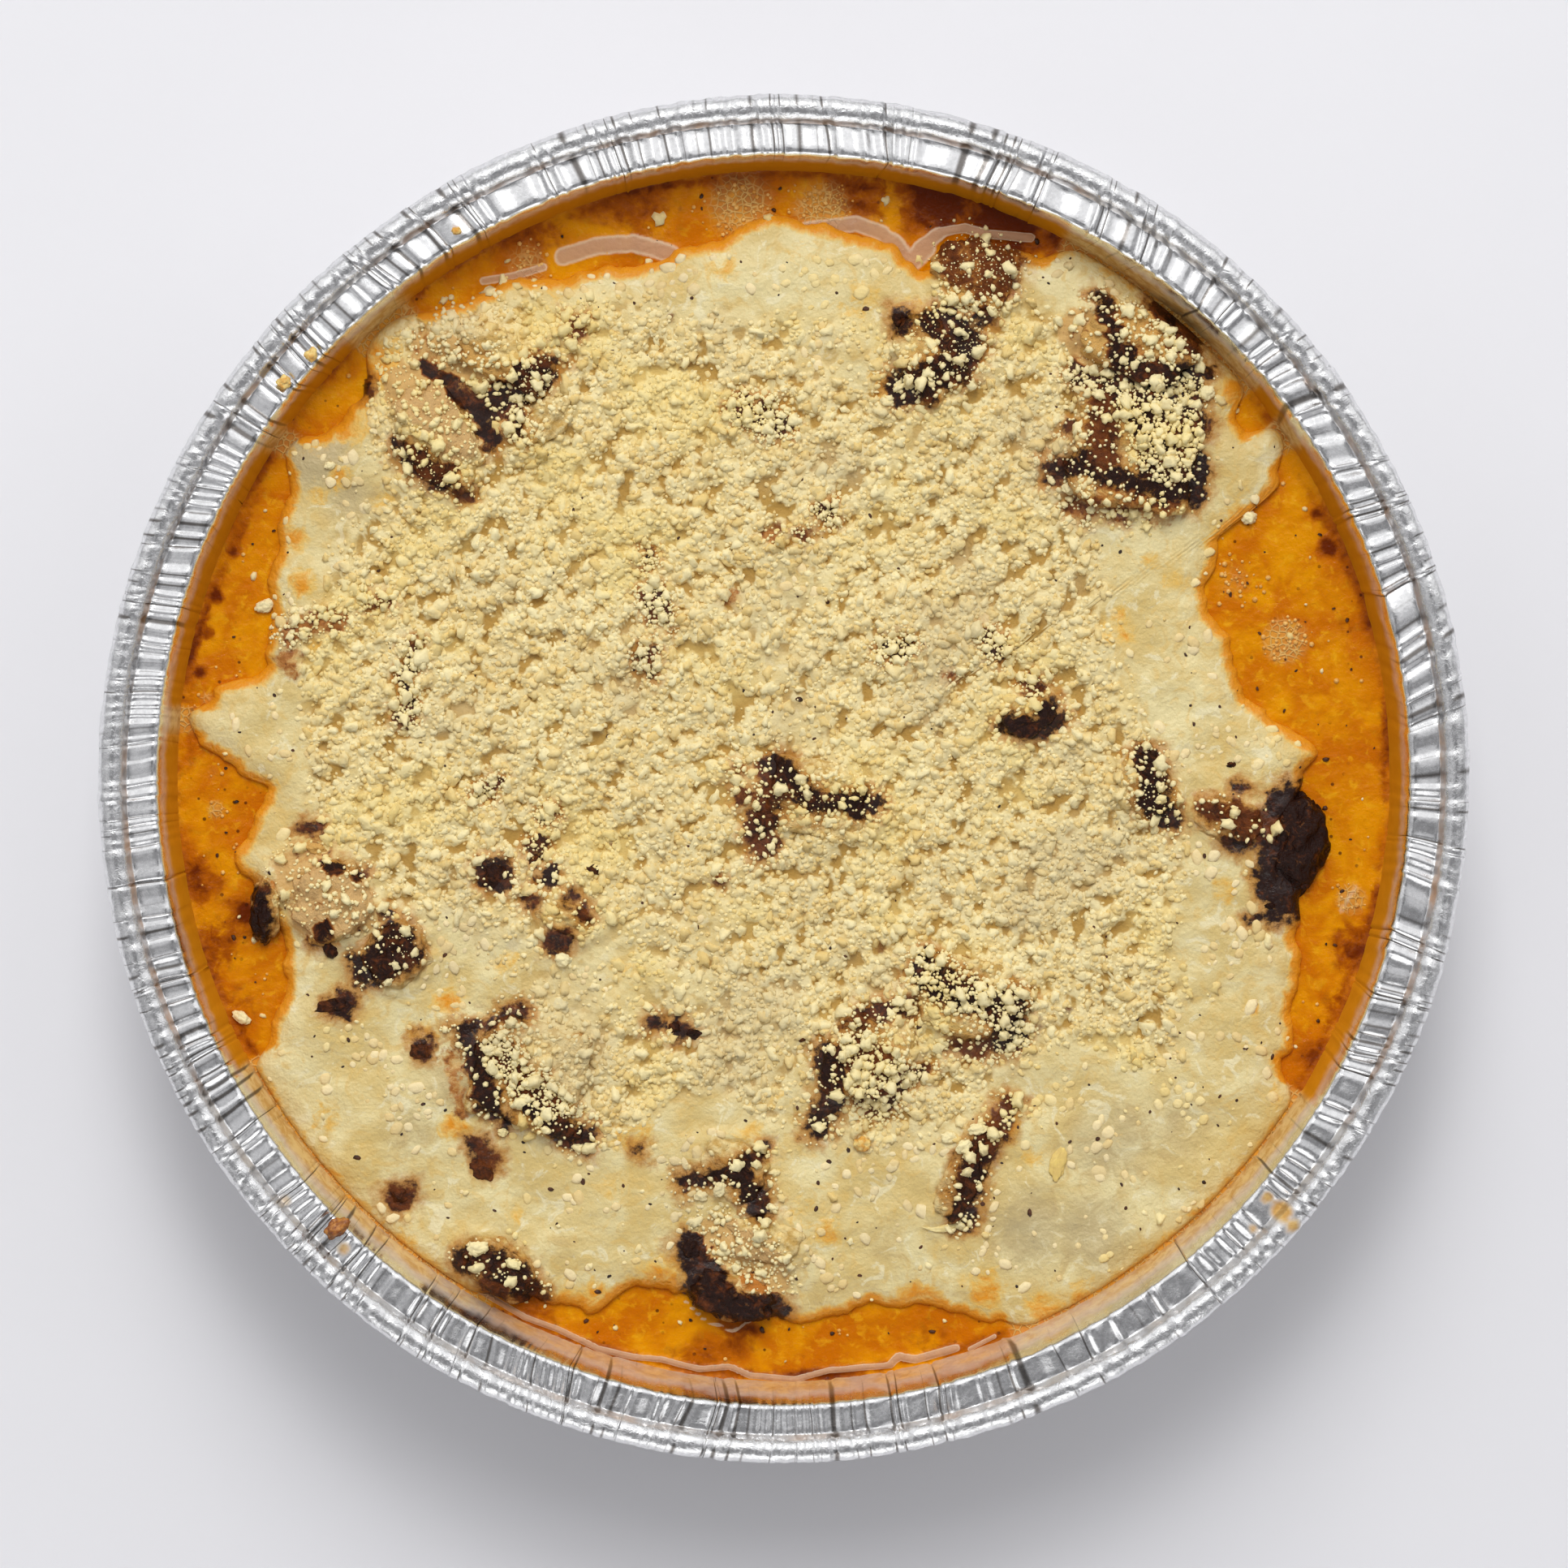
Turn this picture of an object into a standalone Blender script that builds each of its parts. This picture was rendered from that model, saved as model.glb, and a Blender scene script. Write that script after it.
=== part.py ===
"""Round foil tray meal: orange sauce, a cream topping with grated cheese, and browned chunks.

Metres, +Z up, with the origin at the middle of the tray's underside.
"""

import bisect
import math
import random

import bmesh
import bpy
from mathutils import Matrix, Vector, noise

MM = 0.001

# Foil tray, driven by its rim, its height and the lean of its wall
RIM_RADIUS = 92.0 * MM
TRAY_HEIGHT = 42.0 * MM
FOIL = 0.45 * MM
WALL_LEAN = 12.0
FLOOR_FILLET = 5.0 * MM
CORNER_RADIUS = 1.1 * MM
FLANGE_RUN = 2.9 * MM
FLANGE_DROP = 13.0
GROOVE_RADIUS = 0.8 * MM
GROOVE_TURN = 78.0
BEAD_RADIUS = 1.75 * MM
BEAD_TURN = 255.0
PLEAT_STEPS = 84
WALL_PLEAT = 0.32 * MM
FLANGE_PLEAT = 0.50 * MM
BEAD_PLEAT = 0.08 * MM

# Food, measured from the tray's underside
CLEARANCE = 0.35 * MM
SLIVER = 0.02 * MM
EDGE_STEPS = 84
SAUCE_LEVEL = 32.0 * MM
SAUCE_RIPPLE = 0.25 * MM
SAUCE_LEDGE = 78.0 * MM
CREAM_SUNK = 6.0 * MM
CREAM_LIP = 0.9 * MM
CREAM_LEVEL = 33.6 * MM
CREAM_DOME = 0.9 * MM
CREAM_ROUNDING = 5.0 * MM
LUMPS = ((13.0 * MM, 0.55 * MM), (5.0 * MM, 0.45 * MM))
MOUND_HEIGHT = 0.7 * MM
MOUND_REACH = 1.5

# Edge of the cream over the sauce: angle in degrees from +X, radius in millimetres
WALL_REACH = 80.5
CREAM_EDGE = (
    (0, 70), (3, 71.6), (8, 66), (11, 62.8), (18, 62.4), (24, 62), (29, 67), (31, 78), (35, WALL_REACH),
    (38, 77.4), (41, WALL_REACH), (60, WALL_REACH), (66, 77.5), (71, 73.5), (75, 70.6), (79, 73.5),
    (90, 75.8), (100, 72.6), (106, 71.8), (113, 73.8), (121, 77), (132, 80.3), (140, 76.4), (146, 79.6),
    (151, 77), (157, 74.6), (168, 71.8), (174, 78.2), (177, 74), (181, 69.4), (184, 71.6), (188, 75.5),
    (192, 73), (197, 71), (203, 73.2), (206, 77), (209, WALL_REACH), (238, WALL_REACH), (243, 78.5),
    (249, 77), (255, 70.8), (262, 72.2), (273, 73.8), (278, 72.2), (285, 74.6), (291, 79),
    (295, WALL_REACH), (327, WALL_REACH), (331, 77.6), (336, 75.2), (343, 72.8), (350, 70.6), (355, 69),
)

# Chunks: name, x, y, length, width, height, turn, share of the height above the cream, and boxiness.
# Lengths are in millimetres and turns in degrees. Boxiness runs from 0 for a ball to 1 for a cube.
CHUNKS = (
    ("north_lump", 25.6, 67.6, 11.5, 9.5, 7.0, -12, 0.26, 0.25),
    ("north_crust", 19.6, 56.6, 12.5, 8.0, 7.5, -62, 0.24, 0.45),
    ("northeast_upper", 47.4, 58.6, 16.0, 9.0, 8.0, -26, 0.30, 0.50),
    ("northeast_lower", 46.6, 44.4, 17.5, 15.0, 8.2, -12, 0.25, 0.75),
    ("northwest_tongue", -46.4, 46.2, 16.5, 10.0, 8.0, -62, 0.26, 0.25),
    ("northwest_ridge", -37.6, 56.8, 14.5, 6.5, 7.5, -28, 0.28, 0.45),
    ("northwest_cleft", -32.6, 47.8, 10.5, 5.4, 7.0, 48, 0.14, 0.35),
    ("east_small", 33.0, 8.8, 7.6, 5.6, 6.0, 30, 0.20, 0.45),
    ("middle", 4.6, -2.6, 15.0, 10.5, 7.5, -14, 0.17, 0.60),
    ("east_crust", 49.0, -0.6, 9.8, 7.6, 7.0, -58, 0.22, 0.40),
    ("east_patch", 60.0, -5.4, 9.6, 6.0, 6.5, -18, 0.20, 0.40),
    ("east_glossy", 69.2, -9.0, 13.6, 8.2, 8.0, 80, 0.42, 0.15),
    ("west_glossy", -70.0, -17.2, 9.5, 4.2, 6.0, 84, 0.34, 0.10),
    ("west_pale", -60.9, -16.4, 11.6, 11.0, 8.0, 20, 0.26, 0.30),
    ("west_crust", -52.2, -23.6, 9.4, 9.0, 7.5, 35, 0.30, 0.30),
    ("west_patch", -29.6, -18.6, 9.0, 5.0, 6.0, -30, 0.16, 0.30),
    ("southwest_cube", -34.4, -40.0, 15.5, 14.0, 8.0, -14, 0.24, 0.75),
    ("south_crust", 25.2, -29.6, 15.5, 11.0, 7.5, -16, 0.26, 0.45),
    ("south_cube", 11.2, -37.6, 11.5, 11.5, 7.8, -14, 0.22, 0.70),
    ("south_stick", 24.6, -52.8, 15.0, 6.0, 7.0, 64, 0.24, 0.50),
    ("south_star", -6.6, -52.6, 10.8, 8.4, 7.0, -34, 0.22, 0.35),
    ("south_pale", -2.6, -62.2, 10.5, 7.0, 7.0, -12, 0.22, 0.30),
    ("south_glossy", -6.8, -70.0, 11.0, 7.0, 7.0, -12, 0.30, 0.30),
    ("south_slant", -38.6, -66.0, 11.5, 7.0, 7.0, -34, 0.28, 0.30),
)
CHUNK_ROUGHNESS = 0.20
PALE_CHUNKS = ("northwest_tongue", "west_pale", "south_pale")

# Bits too small to lift out: x, y, length, width and turn
BITS = (
    (-39.0, -12.2, 6.2, 5.8, 0),
    (-40.6, -51.8, 6.6, 4.6, -28),
    (-51.6, -55.2, 6.0, 5.6, 0),
    (-48.8, -35.8, 4.6, 4.2, 0),
    (-60.6, -29.6, 7.6, 3.4, 12),
)

BIT_FLATTEN = 0.6

# Grated cheese that shows from a step away
CRUMB_COUNT = 36
CRUMB_RADII = (1.0 * MM, 1.9 * MM)
CRUMB_SPACING = 4.6 * MM
CRUMB_FIELD = 62.0 * MM
CHUNK_SHARE = 0.58
CRUMB_FLATTEN = 1.2
CRUMB_RISE = 0.10

FINISHES = {
    "foil": ((0.78, 0.78, 0.79), 0.28, 1.0),
    "sauce": ((0.72, 0.27, 0.02), 0.22, 0.0),
    "cream": ((0.78, 0.70, 0.44), 0.50, 0.0),
    "browned": ((0.06, 0.03, 0.015), 0.45, 0.0),
    "pale": ((0.55, 0.42, 0.26), 0.55, 0.0),
}


def clear_scene():
    for old in list(bpy.data.objects):
        bpy.data.objects.remove(old)


def material(name, kind):
    colour, roughness, metallic = FINISHES[kind]
    finish = bpy.data.materials.new(name)
    finish.use_nodes = True
    shader = finish.node_tree.nodes["Principled BSDF"]
    shader.inputs["Base Color"].default_value = (*colour, 1)
    shader.inputs["Roughness"].default_value = roughness
    shader.inputs["Metallic"].default_value = metallic
    return finish


def add_object(name, bm, kind, sharp_angle=40):
    """An object from a finished bmesh, smooth but for its sharper edges, in a material of its own."""
    bmesh.ops.recalc_face_normals(bm, faces=bm.faces)
    if bm.calc_volume(signed=True) < 0:
        bmesh.ops.reverse_faces(bm, faces=bm.faces)
    mesh = bpy.data.meshes.new(name)
    bm.to_mesh(mesh)
    bm.free()
    mesh.materials.append(material(name, kind))
    mesh.shade_smooth()
    mesh.set_sharp_from_angle(angle=math.radians(sharp_angle))
    made = bpy.data.objects.new(name, mesh)
    bpy.context.scene.collection.objects.link(made)
    return made


# Foil tray


def walk(floor_run, wall_run):
    """Middle line of the foil in half section, from floor to curl: place, heading and pleat depth."""
    wall_turn = 90 - WALL_LEAN
    moves = (
        ("turn", FLOOR_FILLET, wall_turn, 2, WALL_PLEAT / 2),
        ("run", wall_run, 0, 1, WALL_PLEAT),
        ("turn", CORNER_RADIUS, -(wall_turn + FLANGE_DROP), 2, FLANGE_PLEAT / 2),
        ("run", FLANGE_RUN, 0, 1, FLANGE_PLEAT),
        ("turn", GROOVE_RADIUS, GROOVE_TURN + FLANGE_DROP, 1, BEAD_PLEAT),
        ("turn", BEAD_RADIUS, -BEAD_TURN, 5, BEAD_PLEAT),
    )
    place = Vector((floor_run, FOIL / 2))
    heading = 0.0
    points = [(place.copy(), heading, 0.0)]
    for kind, size, degrees, steps, pleat in moves:
        for _ in range(steps):
            turned = math.radians(degrees / steps)
            length = size if kind == "run" else 2 * size * math.sin(abs(turned) / 2)
            along = heading + turned / 2
            place += length * Vector((math.cos(along), math.sin(along)))
            heading += turned
            points.append((place.copy(), heading, pleat))
    return points


def foil_line():
    """The middle line whose curl ends at RIM_RADIUS and whose top is at TRAY_HEIGHT."""
    trial = walk(0, 0)
    rise = TRAY_HEIGHT - FOIL / 2 - max(p.y for p, _, _ in trial)
    wall_run = rise / math.cos(math.radians(WALL_LEAN))
    reach = max(p.x for p, _, _ in walk(0, wall_run))
    return walk(RIM_RADIUS - FOIL / 2 - reach, wall_run)


def inward(heading):
    """Unit vector from the foil's middle line towards the food, in half section."""
    return Vector((-math.sin(heading), math.cos(heading)))


def build_tray(line):
    """Both skins of the foil spun round the axis, with pleats pressed through them alike."""
    rng = random.Random(11)
    depths = [rng.uniform(0.55, 1.25) * (1 if i % 2 else -1) for i in range(PLEAT_STEPS)]
    bm = bmesh.new()
    push_out = bm.verts.layers.float.new("push_out")
    push_up = bm.verts.layers.float.new("push_up")

    def skin(side):
        made = []
        for place, heading, pleat in line:
            away = inward(heading)
            point = place + side * FOIL / 2 * away
            vert = bm.verts.new((point.x, 0, point.y))
            vert[push_out], vert[push_up] = away.x * pleat, away.y * pleat
            made.append(vert)
        return made

    outline = skin(-1) + skin(1)[::-1]
    edges = [bm.edges.new(pair) for pair in zip(outline, outline[1:])]
    turn = dict(axis=(0, 0, 1), angle=math.tau, steps=PLEAT_STEPS, use_merge=True)
    bmesh.ops.spin(bm, geom=outline + edges, **turn)
    bmesh.ops.remove_doubles(bm, verts=bm.verts, dist=0.01 * MM)
    bmesh.ops.holes_fill(bm, edges=[e for e in bm.edges if e.is_boundary], sides=0)
    for vert in bm.verts:
        angle = math.atan2(vert.co.y, vert.co.x)
        depth = depths[round(angle / math.tau * PLEAT_STEPS) % PLEAT_STEPS]
        out = depth * vert[push_out]
        vert.co += Vector((out * math.cos(angle), out * math.sin(angle), depth * vert[push_up]))
    add_object("foil_tray", bm, "foil")


def wall_radius(line, height):
    """Radius of the foil's middle line on its wall at a height."""
    low, high = line[2][0], line[3][0]
    return low.x + (high.x - low.x) * (height - low.y) / (high.y - low.y)


def food_gap():
    """Distance from the foil's middle line that clears its deepest pleat."""
    return FOIL / 2 + WALL_PLEAT * 1.25 + CLEARANCE


# Sauce and cream


def edge_radius(angle):
    """Radius of the cream's edge, eased between the listed points."""
    degrees = math.degrees(angle) % 360
    after = bisect.bisect_right([a for a, _ in CREAM_EDGE], degrees)
    a0, r0 = CREAM_EDGE[after - 1]
    a1, r1 = CREAM_EDGE[after] if after < len(CREAM_EDGE) else (CREAM_EDGE[0][0] + 360, CREAM_EDGE[0][1])
    share = (degrees - a0) / (a1 - a0)
    return (r0 + (r1 - r0) * share * share * (3 - 2 * share)) * MM


def root_radius(angle):
    """Radius of the sunk part of the cream, which keeps a ledge of sauce round it."""
    return min(edge_radius(angle), SAUCE_LEDGE)


def add_rings(bm, rings):
    """Extrudes the open edge of a skin ring by ring, each at a radius and a height, then closes it."""
    for radius_at, height_at in rings:
        made = bmesh.ops.extrude_edge_only(bm, edges=[e for e in bm.edges if e.is_boundary])["geom"]
        for vert in (v for v in made if isinstance(v, bmesh.types.BMVert)):
            angle = math.atan2(vert.co.y, vert.co.x)
            x, y = radius_at(angle) * math.cos(angle), radius_at(angle) * math.sin(angle)
            vert.co = (x, y, height_at(x, y))
    bmesh.ops.holes_fill(bm, edges=[e for e in bm.edges if e.is_boundary], sides=0)
    bmesh.ops.triangulate(bm, faces=[f for f in bm.faces if len(f.verts) > 4])


def ripple(x, y):
    return SAUCE_LEVEL + SAUCE_RIPPLE * (noise.noise(Vector((x, y, 0)) / (9 * MM)) - 0.6)


def build_sauce(line):
    """The filling up to the sauce level, with a recess for the sunk part of the cream."""
    gap = food_gap()
    fillet = line[1]
    shoulder = fillet[0] + gap * inward(fillet[1])
    floor_radius = line[0][0].x
    floor_height = FOIL + CLEARANCE
    wall = wall_radius(line, SAUCE_LEVEL) - gap / math.cos(math.radians(WALL_LEAN))
    wall_foot = wall_radius(line, shoulder.y + FLOOR_FILLET) - gap / math.cos(math.radians(WALL_LEAN))
    sunk = SAUCE_LEVEL - CREAM_SUNK - CLEARANCE
    bm = bmesh.new()
    bmesh.ops.create_circle(bm, cap_ends=True, segments=EDGE_STEPS, radius=floor_radius)
    bmesh.ops.translate(bm, verts=bm.verts, vec=(0, 0, floor_height))
    add_rings(bm, (
        (lambda a: shoulder.x, lambda x, y: shoulder.y),
        (lambda a: wall_foot, lambda x, y: shoulder.y + FLOOR_FILLET),
        (lambda a: wall, lambda x, y: SAUCE_LEVEL),
        (lambda a: (wall + root_radius(a)) / 2, ripple),
        (lambda a: root_radius(a) + CLEARANCE, lambda x, y: SAUCE_LEVEL - 0.1 * MM),
        (lambda a: root_radius(a) + CLEARANCE, lambda x, y: sunk),
    ))
    return add_object("sauce", bm, "sauce")


def mounds(x, y):
    """Height that the cream gains where it covers a chunk, as a share of MOUND_HEIGHT."""
    total = 0.0
    for _, cx, cy, length, width, _, _, _, _ in CHUNKS:
        spread = (length + width) / 4 * MM * MOUND_REACH
        away = math.hypot(x - cx * MM, y - cy * MM) / spread
        total = max(total, math.exp(-away * away))
    return total


def cream_height(x, y):
    """Height of the cream's surface, with its dome, its lumps and its rounded edge."""
    radius = math.hypot(x, y)
    inside = max(0.0, edge_radius(math.atan2(y, x)) - radius)
    height = CREAM_LEVEL + CREAM_DOME * (1 - (radius / RIM_RADIUS) ** 2) + MOUND_HEIGHT * mounds(x, y)
    for size, depth in LUMPS:
        height += depth * noise.noise(Vector((x, y, size)) / size)
    lip = SAUCE_LEVEL + CLEARANCE + CREAM_LIP
    rise = min(1.0, inside / CREAM_ROUNDING)
    return lip + (height - lip) * math.sqrt(rise * (2 - rise))


def build_cream():
    """A triangle lattice stretched to the cream's edge, with its lip, its underside and its sunk root."""
    bm = bmesh.new()
    bmesh.ops.create_circle(bm, cap_ends=True, cap_tris=True, segments=6, radius=1)
    bmesh.ops.subdivide_edges(bm, edges=bm.edges, cuts=EDGE_STEPS // 6 - 1, use_grid_fill=True)
    bmesh.ops.triangulate(bm, faces=bm.faces)
    for vert in bm.verts:
        share, angle = lattice_place(vert)
        radius = share * edge_radius(angle)
        x, y = radius * math.cos(angle), radius * math.sin(angle)
        vert.co = (x, y, cream_height(x, y))
    under = SAUCE_LEVEL + CLEARANCE
    add_rings(bm, (
        (edge_radius, lambda x, y: under),
        (lambda a: root_radius(a) - CLEARANCE / 2, lambda x, y: under),
        (lambda a: root_radius(a) - CLEARANCE / 2, lambda x, y: SAUCE_LEVEL - CREAM_SUNK),
    ))
    return add_object("cream_topping", bm, "cream")


def lattice_place(vert):
    """Share of the way out and angle of a hexagon's lattice vertex, spaced evenly round a circle."""
    angle = math.atan2(vert.co.y, vert.co.x) - math.pi / 6
    sector = math.floor(angle / (math.pi / 3) + 1e-5)
    within = angle - (sector + 0.5) * math.pi / 3
    share = vert.co.length * math.cos(within) / math.cos(math.pi / 6)
    along = 0.5 + math.tan(within) / (2 * math.tan(math.pi / 6))
    return min(1.0, share), (sector + along) * math.pi / 3 + math.pi / 6


# Chunks and crumbs


def rock(length, width, height, boxiness, seed, detail):
    """A small stone between a ball and a box, with an uneven skin, round its own middle."""
    bm = bmesh.new()
    bmesh.ops.create_icosphere(bm, subdivisions=detail, radius=1)
    for vert in bm.verts:
        way = vert.co.normalized()
        to_box = min(1.5, 1 / max(abs(way.x), abs(way.y), abs(way.z)))
        rough = 1 + CHUNK_ROUGHNESS * noise.noise(way * 1.9 + Vector((seed, 0, 0)))
        way *= (1 + boxiness * (to_box - 1)) * rough
        vert.co = (way.x * length / 2, way.y * width / 2, way.z * height / 2)
    return bm


def chunk_place(x, y, height, turn, above):
    """Where a chunk lies, with its share above the cream or, past the cream's edge, above the sauce."""
    inside = edge_radius(math.atan2(y, x)) - math.hypot(x, y)
    surface = cream_height(x, y) if inside > 0 else SAUCE_LEVEL
    place = Matrix.Translation((x, y, surface + (above - 0.5) * height))
    return place @ Matrix.Rotation(math.radians(turn), 4, "Z")


def press_to_wall(bm, place, line):
    """Keeps a chunk's skin inside the foil wall."""
    for vert in bm.verts:
        point = place @ vert.co
        limit = wall_radius(line, point.z) - food_gap() / math.cos(math.radians(WALL_LEAN))
        if point.xy.length > limit:
            point.xy *= limit / point.xy.length
            vert.co = place.inverted() @ point


def grow(bm, distance):
    """Moves a skin outwards by a distance."""
    bm.normal_update()
    for vert in bm.verts:
        vert.co += vert.normal * vert.calc_shell_factor() * distance


def move_to(collection, piece):
    bpy.context.scene.collection.objects.unlink(piece)
    collection.objects.link(piece)


def build_chunks(line):
    """The chunks, and the slightly larger cutters that give each its pocket."""
    cutters = bpy.data.collections.new("cutters")
    for seed, (name, x, y, length, width, height, turn, above, boxiness) in enumerate(CHUNKS):
        place = chunk_place(x * MM, y * MM, height * MM, turn, above)
        bm = rock(length * MM, width * MM, height * MM, boxiness, seed, 2)
        pocket = bm.copy()
        grow(pocket, CLEARANCE)
        press_to_wall(bm, place, line)
        chunk = add_object("chunk_" + name, bm, "pale" if name in PALE_CHUNKS else "browned", 60)
        cutter = add_object("cutter_" + name, pocket, "browned")
        chunk.matrix_world = place
        cutter.matrix_world = place
        move_to(cutters, cutter)
    return cutters


def crumb_places():
    """Places for the crumbs, inside the cheese field and apart from each other and from the chunks."""
    rng = random.Random(5)
    taken = [Vector(chunk[1:4]) * MM for chunk in CHUNKS] + [Vector(bit[:3]) * MM for bit in BITS]
    places = []
    while len(places) < CRUMB_COUNT:
        angle, radius = rng.uniform(0, math.tau), CRUMB_FIELD * math.sqrt(rng.random())
        x, y = radius * math.cos(angle), radius * math.sin(angle)
        size = rng.uniform(*CRUMB_RADII)
        gaps = [math.hypot(x - cx, y - cy) - CHUNK_SHARE * length for cx, cy, length in taken]
        apart = [math.hypot(x - cx, y - cy) for cx, cy, _ in places]
        if min(gaps) > size + CLEARANCE and min(apart, default=CRUMB_FIELD) > CRUMB_SPACING:
            places.append((x, y, size))
    return places


def build_crumbs():
    """The cheese crumbs and the small bits, ready to be joined to the cream."""
    crumbs = bpy.data.collections.new("crumbs")
    pieces = [(x, y, 2 * size, 1.6 * size, CRUMB_FLATTEN * size, 0) for x, y, size in crumb_places()]
    for x, y, length, width, turn in BITS:
        pieces.append((x * MM, y * MM, length * MM, width * MM, BIT_FLATTEN * width * MM, turn))
    for seed, (x, y, length, width, height, turn) in enumerate(pieces):
        crumb = add_object(f"crumb_{seed}", rock(length, width, height, 0.1, seed, 1), "cream")
        crumb.location = (x, y, cream_height(x, y) + CRUMB_RISE * height)
        crumb.rotation_euler.z = math.radians(turn) if turn else seed
        move_to(crumbs, crumb)
    return crumbs


def apply_boolean(target, collection, operation, solver="EXACT"):
    """Joins a collection's pieces to the target, or cuts them from it, for good."""
    bpy.context.scene.collection.children.link(collection)
    change = target.modifiers.new(operation.lower(), "BOOLEAN")
    change.operand_type = "COLLECTION"
    change.collection = collection
    change.operation = operation
    change.solver = solver
    graph = bpy.context.evaluated_depsgraph_get()
    result = bpy.data.meshes.new_from_object(target.evaluated_get(graph), depsgraph=graph)
    target.modifiers.clear()
    bm = bmesh.new()
    bm.from_mesh(result)
    bmesh.ops.triangulate(bm, faces=bm.faces)
    bmesh.ops.dissolve_degenerate(bm, edges=bm.edges, dist=SLIVER)
    bm.to_mesh(result)
    bm.free()
    target.data = result
    bpy.context.scene.collection.children.unlink(collection)


def remove_collection(collection):
    for piece in list(collection.objects):
        bpy.data.objects.remove(piece)
    bpy.data.collections.remove(collection)


def build_meal():
    clear_scene()
    line = foil_line()
    build_tray(line)
    sauce = build_sauce(line)
    cream = build_cream()
    crumbs = build_crumbs()
    apply_boolean(cream, crumbs, "UNION")
    remove_collection(crumbs)
    cutters = build_chunks(line)
    apply_boolean(cream, cutters, "DIFFERENCE")
    apply_boolean(sauce, cutters, "DIFFERENCE", "MANIFOLD")
    remove_collection(cutters)


build_meal()
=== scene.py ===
"""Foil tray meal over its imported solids: pleated foil, orange sauce, baked cream, cheese and chunks.

Metres, +Z up, with the origin at the middle of the tray's underside and the photo's top towards +Y.
"""

import bisect
import math
import random

import bmesh
import bpy
from mathutils import Matrix, Vector, noise
from mathutils.bvhtree import BVHTree
from mathutils.kdtree import KDTree


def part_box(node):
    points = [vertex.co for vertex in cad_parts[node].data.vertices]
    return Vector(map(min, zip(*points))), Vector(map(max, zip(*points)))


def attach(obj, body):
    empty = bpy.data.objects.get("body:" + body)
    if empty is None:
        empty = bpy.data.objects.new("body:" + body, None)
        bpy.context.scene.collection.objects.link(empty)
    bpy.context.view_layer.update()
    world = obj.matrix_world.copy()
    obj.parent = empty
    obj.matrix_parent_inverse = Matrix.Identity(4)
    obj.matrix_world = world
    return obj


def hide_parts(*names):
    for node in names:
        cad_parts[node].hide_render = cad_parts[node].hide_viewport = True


MM = 0.001
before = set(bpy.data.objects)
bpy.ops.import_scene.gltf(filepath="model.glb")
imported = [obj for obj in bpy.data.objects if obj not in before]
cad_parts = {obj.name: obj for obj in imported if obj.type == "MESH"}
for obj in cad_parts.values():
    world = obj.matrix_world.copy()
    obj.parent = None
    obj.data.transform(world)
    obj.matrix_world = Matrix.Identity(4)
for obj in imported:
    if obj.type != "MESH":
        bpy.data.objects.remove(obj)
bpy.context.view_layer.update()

# Foil
RIM_RADIUS = 92.0 * MM
TRAY_HEIGHT = 42.0 * MM
FOIL = 0.20 * MM
WALL_LEAN = 12.0
CORNER_AT = 84.0 * MM
FLOOR_FILLET = 5.0 * MM
CORNER_RADIUS = 0.7 * MM
FLANGE_DROP = 13.0
GROOVE_RADIUS = 0.5 * MM
GROOVE_TURN = 78.0
BEAD_RADIUS = 1.72 * MM
BEAD_TURN = 262.0
SPIN_STEPS = 60
COLUMNS = 1500
FOLD_DEPTH = 1.25 * MM
SHARP_PINCH = 0.28

# Food
SAUCE_LEVEL = 32.0 * MM
SAUCE_RIPPLE = 0.25 * MM
SAUCE_LEDGE = 78.0 * MM
MENISCUS = 0.6 * MM
MENISCUS_REACH = 0.5 * MM
CREAM_SUNK = 6.0 * MM
CREAM_LIP = 0.15 * MM
CREAM_LEVEL = 33.6 * MM
CREAM_DOME = 0.9 * MM
CREAM_ROUNDING = 5.0 * MM
LUMPS = ((13.0 * MM, 0.55 * MM), (5.0 * MM, 0.45 * MM), (2.4 * MM, 0.10 * MM))
MOUND_HEIGHT = 0.7 * MM
MOUND_REACH = 1.5
WALL_REACH = 80.5
WALL_CLOSE = 1.0
EDGE_PLACES = 2160
COLLAR = 0.8 * MM
CHUNK_REACH = 81.2 * MM
OVER_FOOD = 60 * MM
LATTICE_CUTS = 168

# Edge of the cream over the sauce: angle in degrees from +X, radius in millimetres
CREAM_EDGE = (
    (0, 70), (3, 71.6), (8, 66), (11, 62.8), (18, 62.4), (24, 62), (29, 67), (31, 78), (35, WALL_REACH),
    (38, 77.4), (41, WALL_REACH), (60, WALL_REACH), (66, 77.5), (71, 73.5), (75, 70.6), (79, 73.5),
    (90, 75.8), (100, 72.6), (106, 71.8), (113, 73.8), (121, 77), (132, 80.3), (140, 76.4), (146, 79.6),
    (151, 77), (157, 74.6), (168, 71.8), (171, 77.5), (174, 79.8), (176.5, 79.0), (179, 74.5),
    (181, 69.4), (184, 71.6), (188, 75.5),
    (192, 73), (197, 71), (203, 73.2), (206, 77), (209, WALL_REACH), (238, WALL_REACH), (243, 78.5),
    (249, 77), (255, 70.8), (262, 72.2), (273, 73.8), (278, 72.2), (285, 74.6), (291, 79),
    (295, WALL_REACH), (327, WALL_REACH), (331, 77.6), (336, 75.2), (343, 72.8), (350, 70.6), (355, 69),
)

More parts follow.
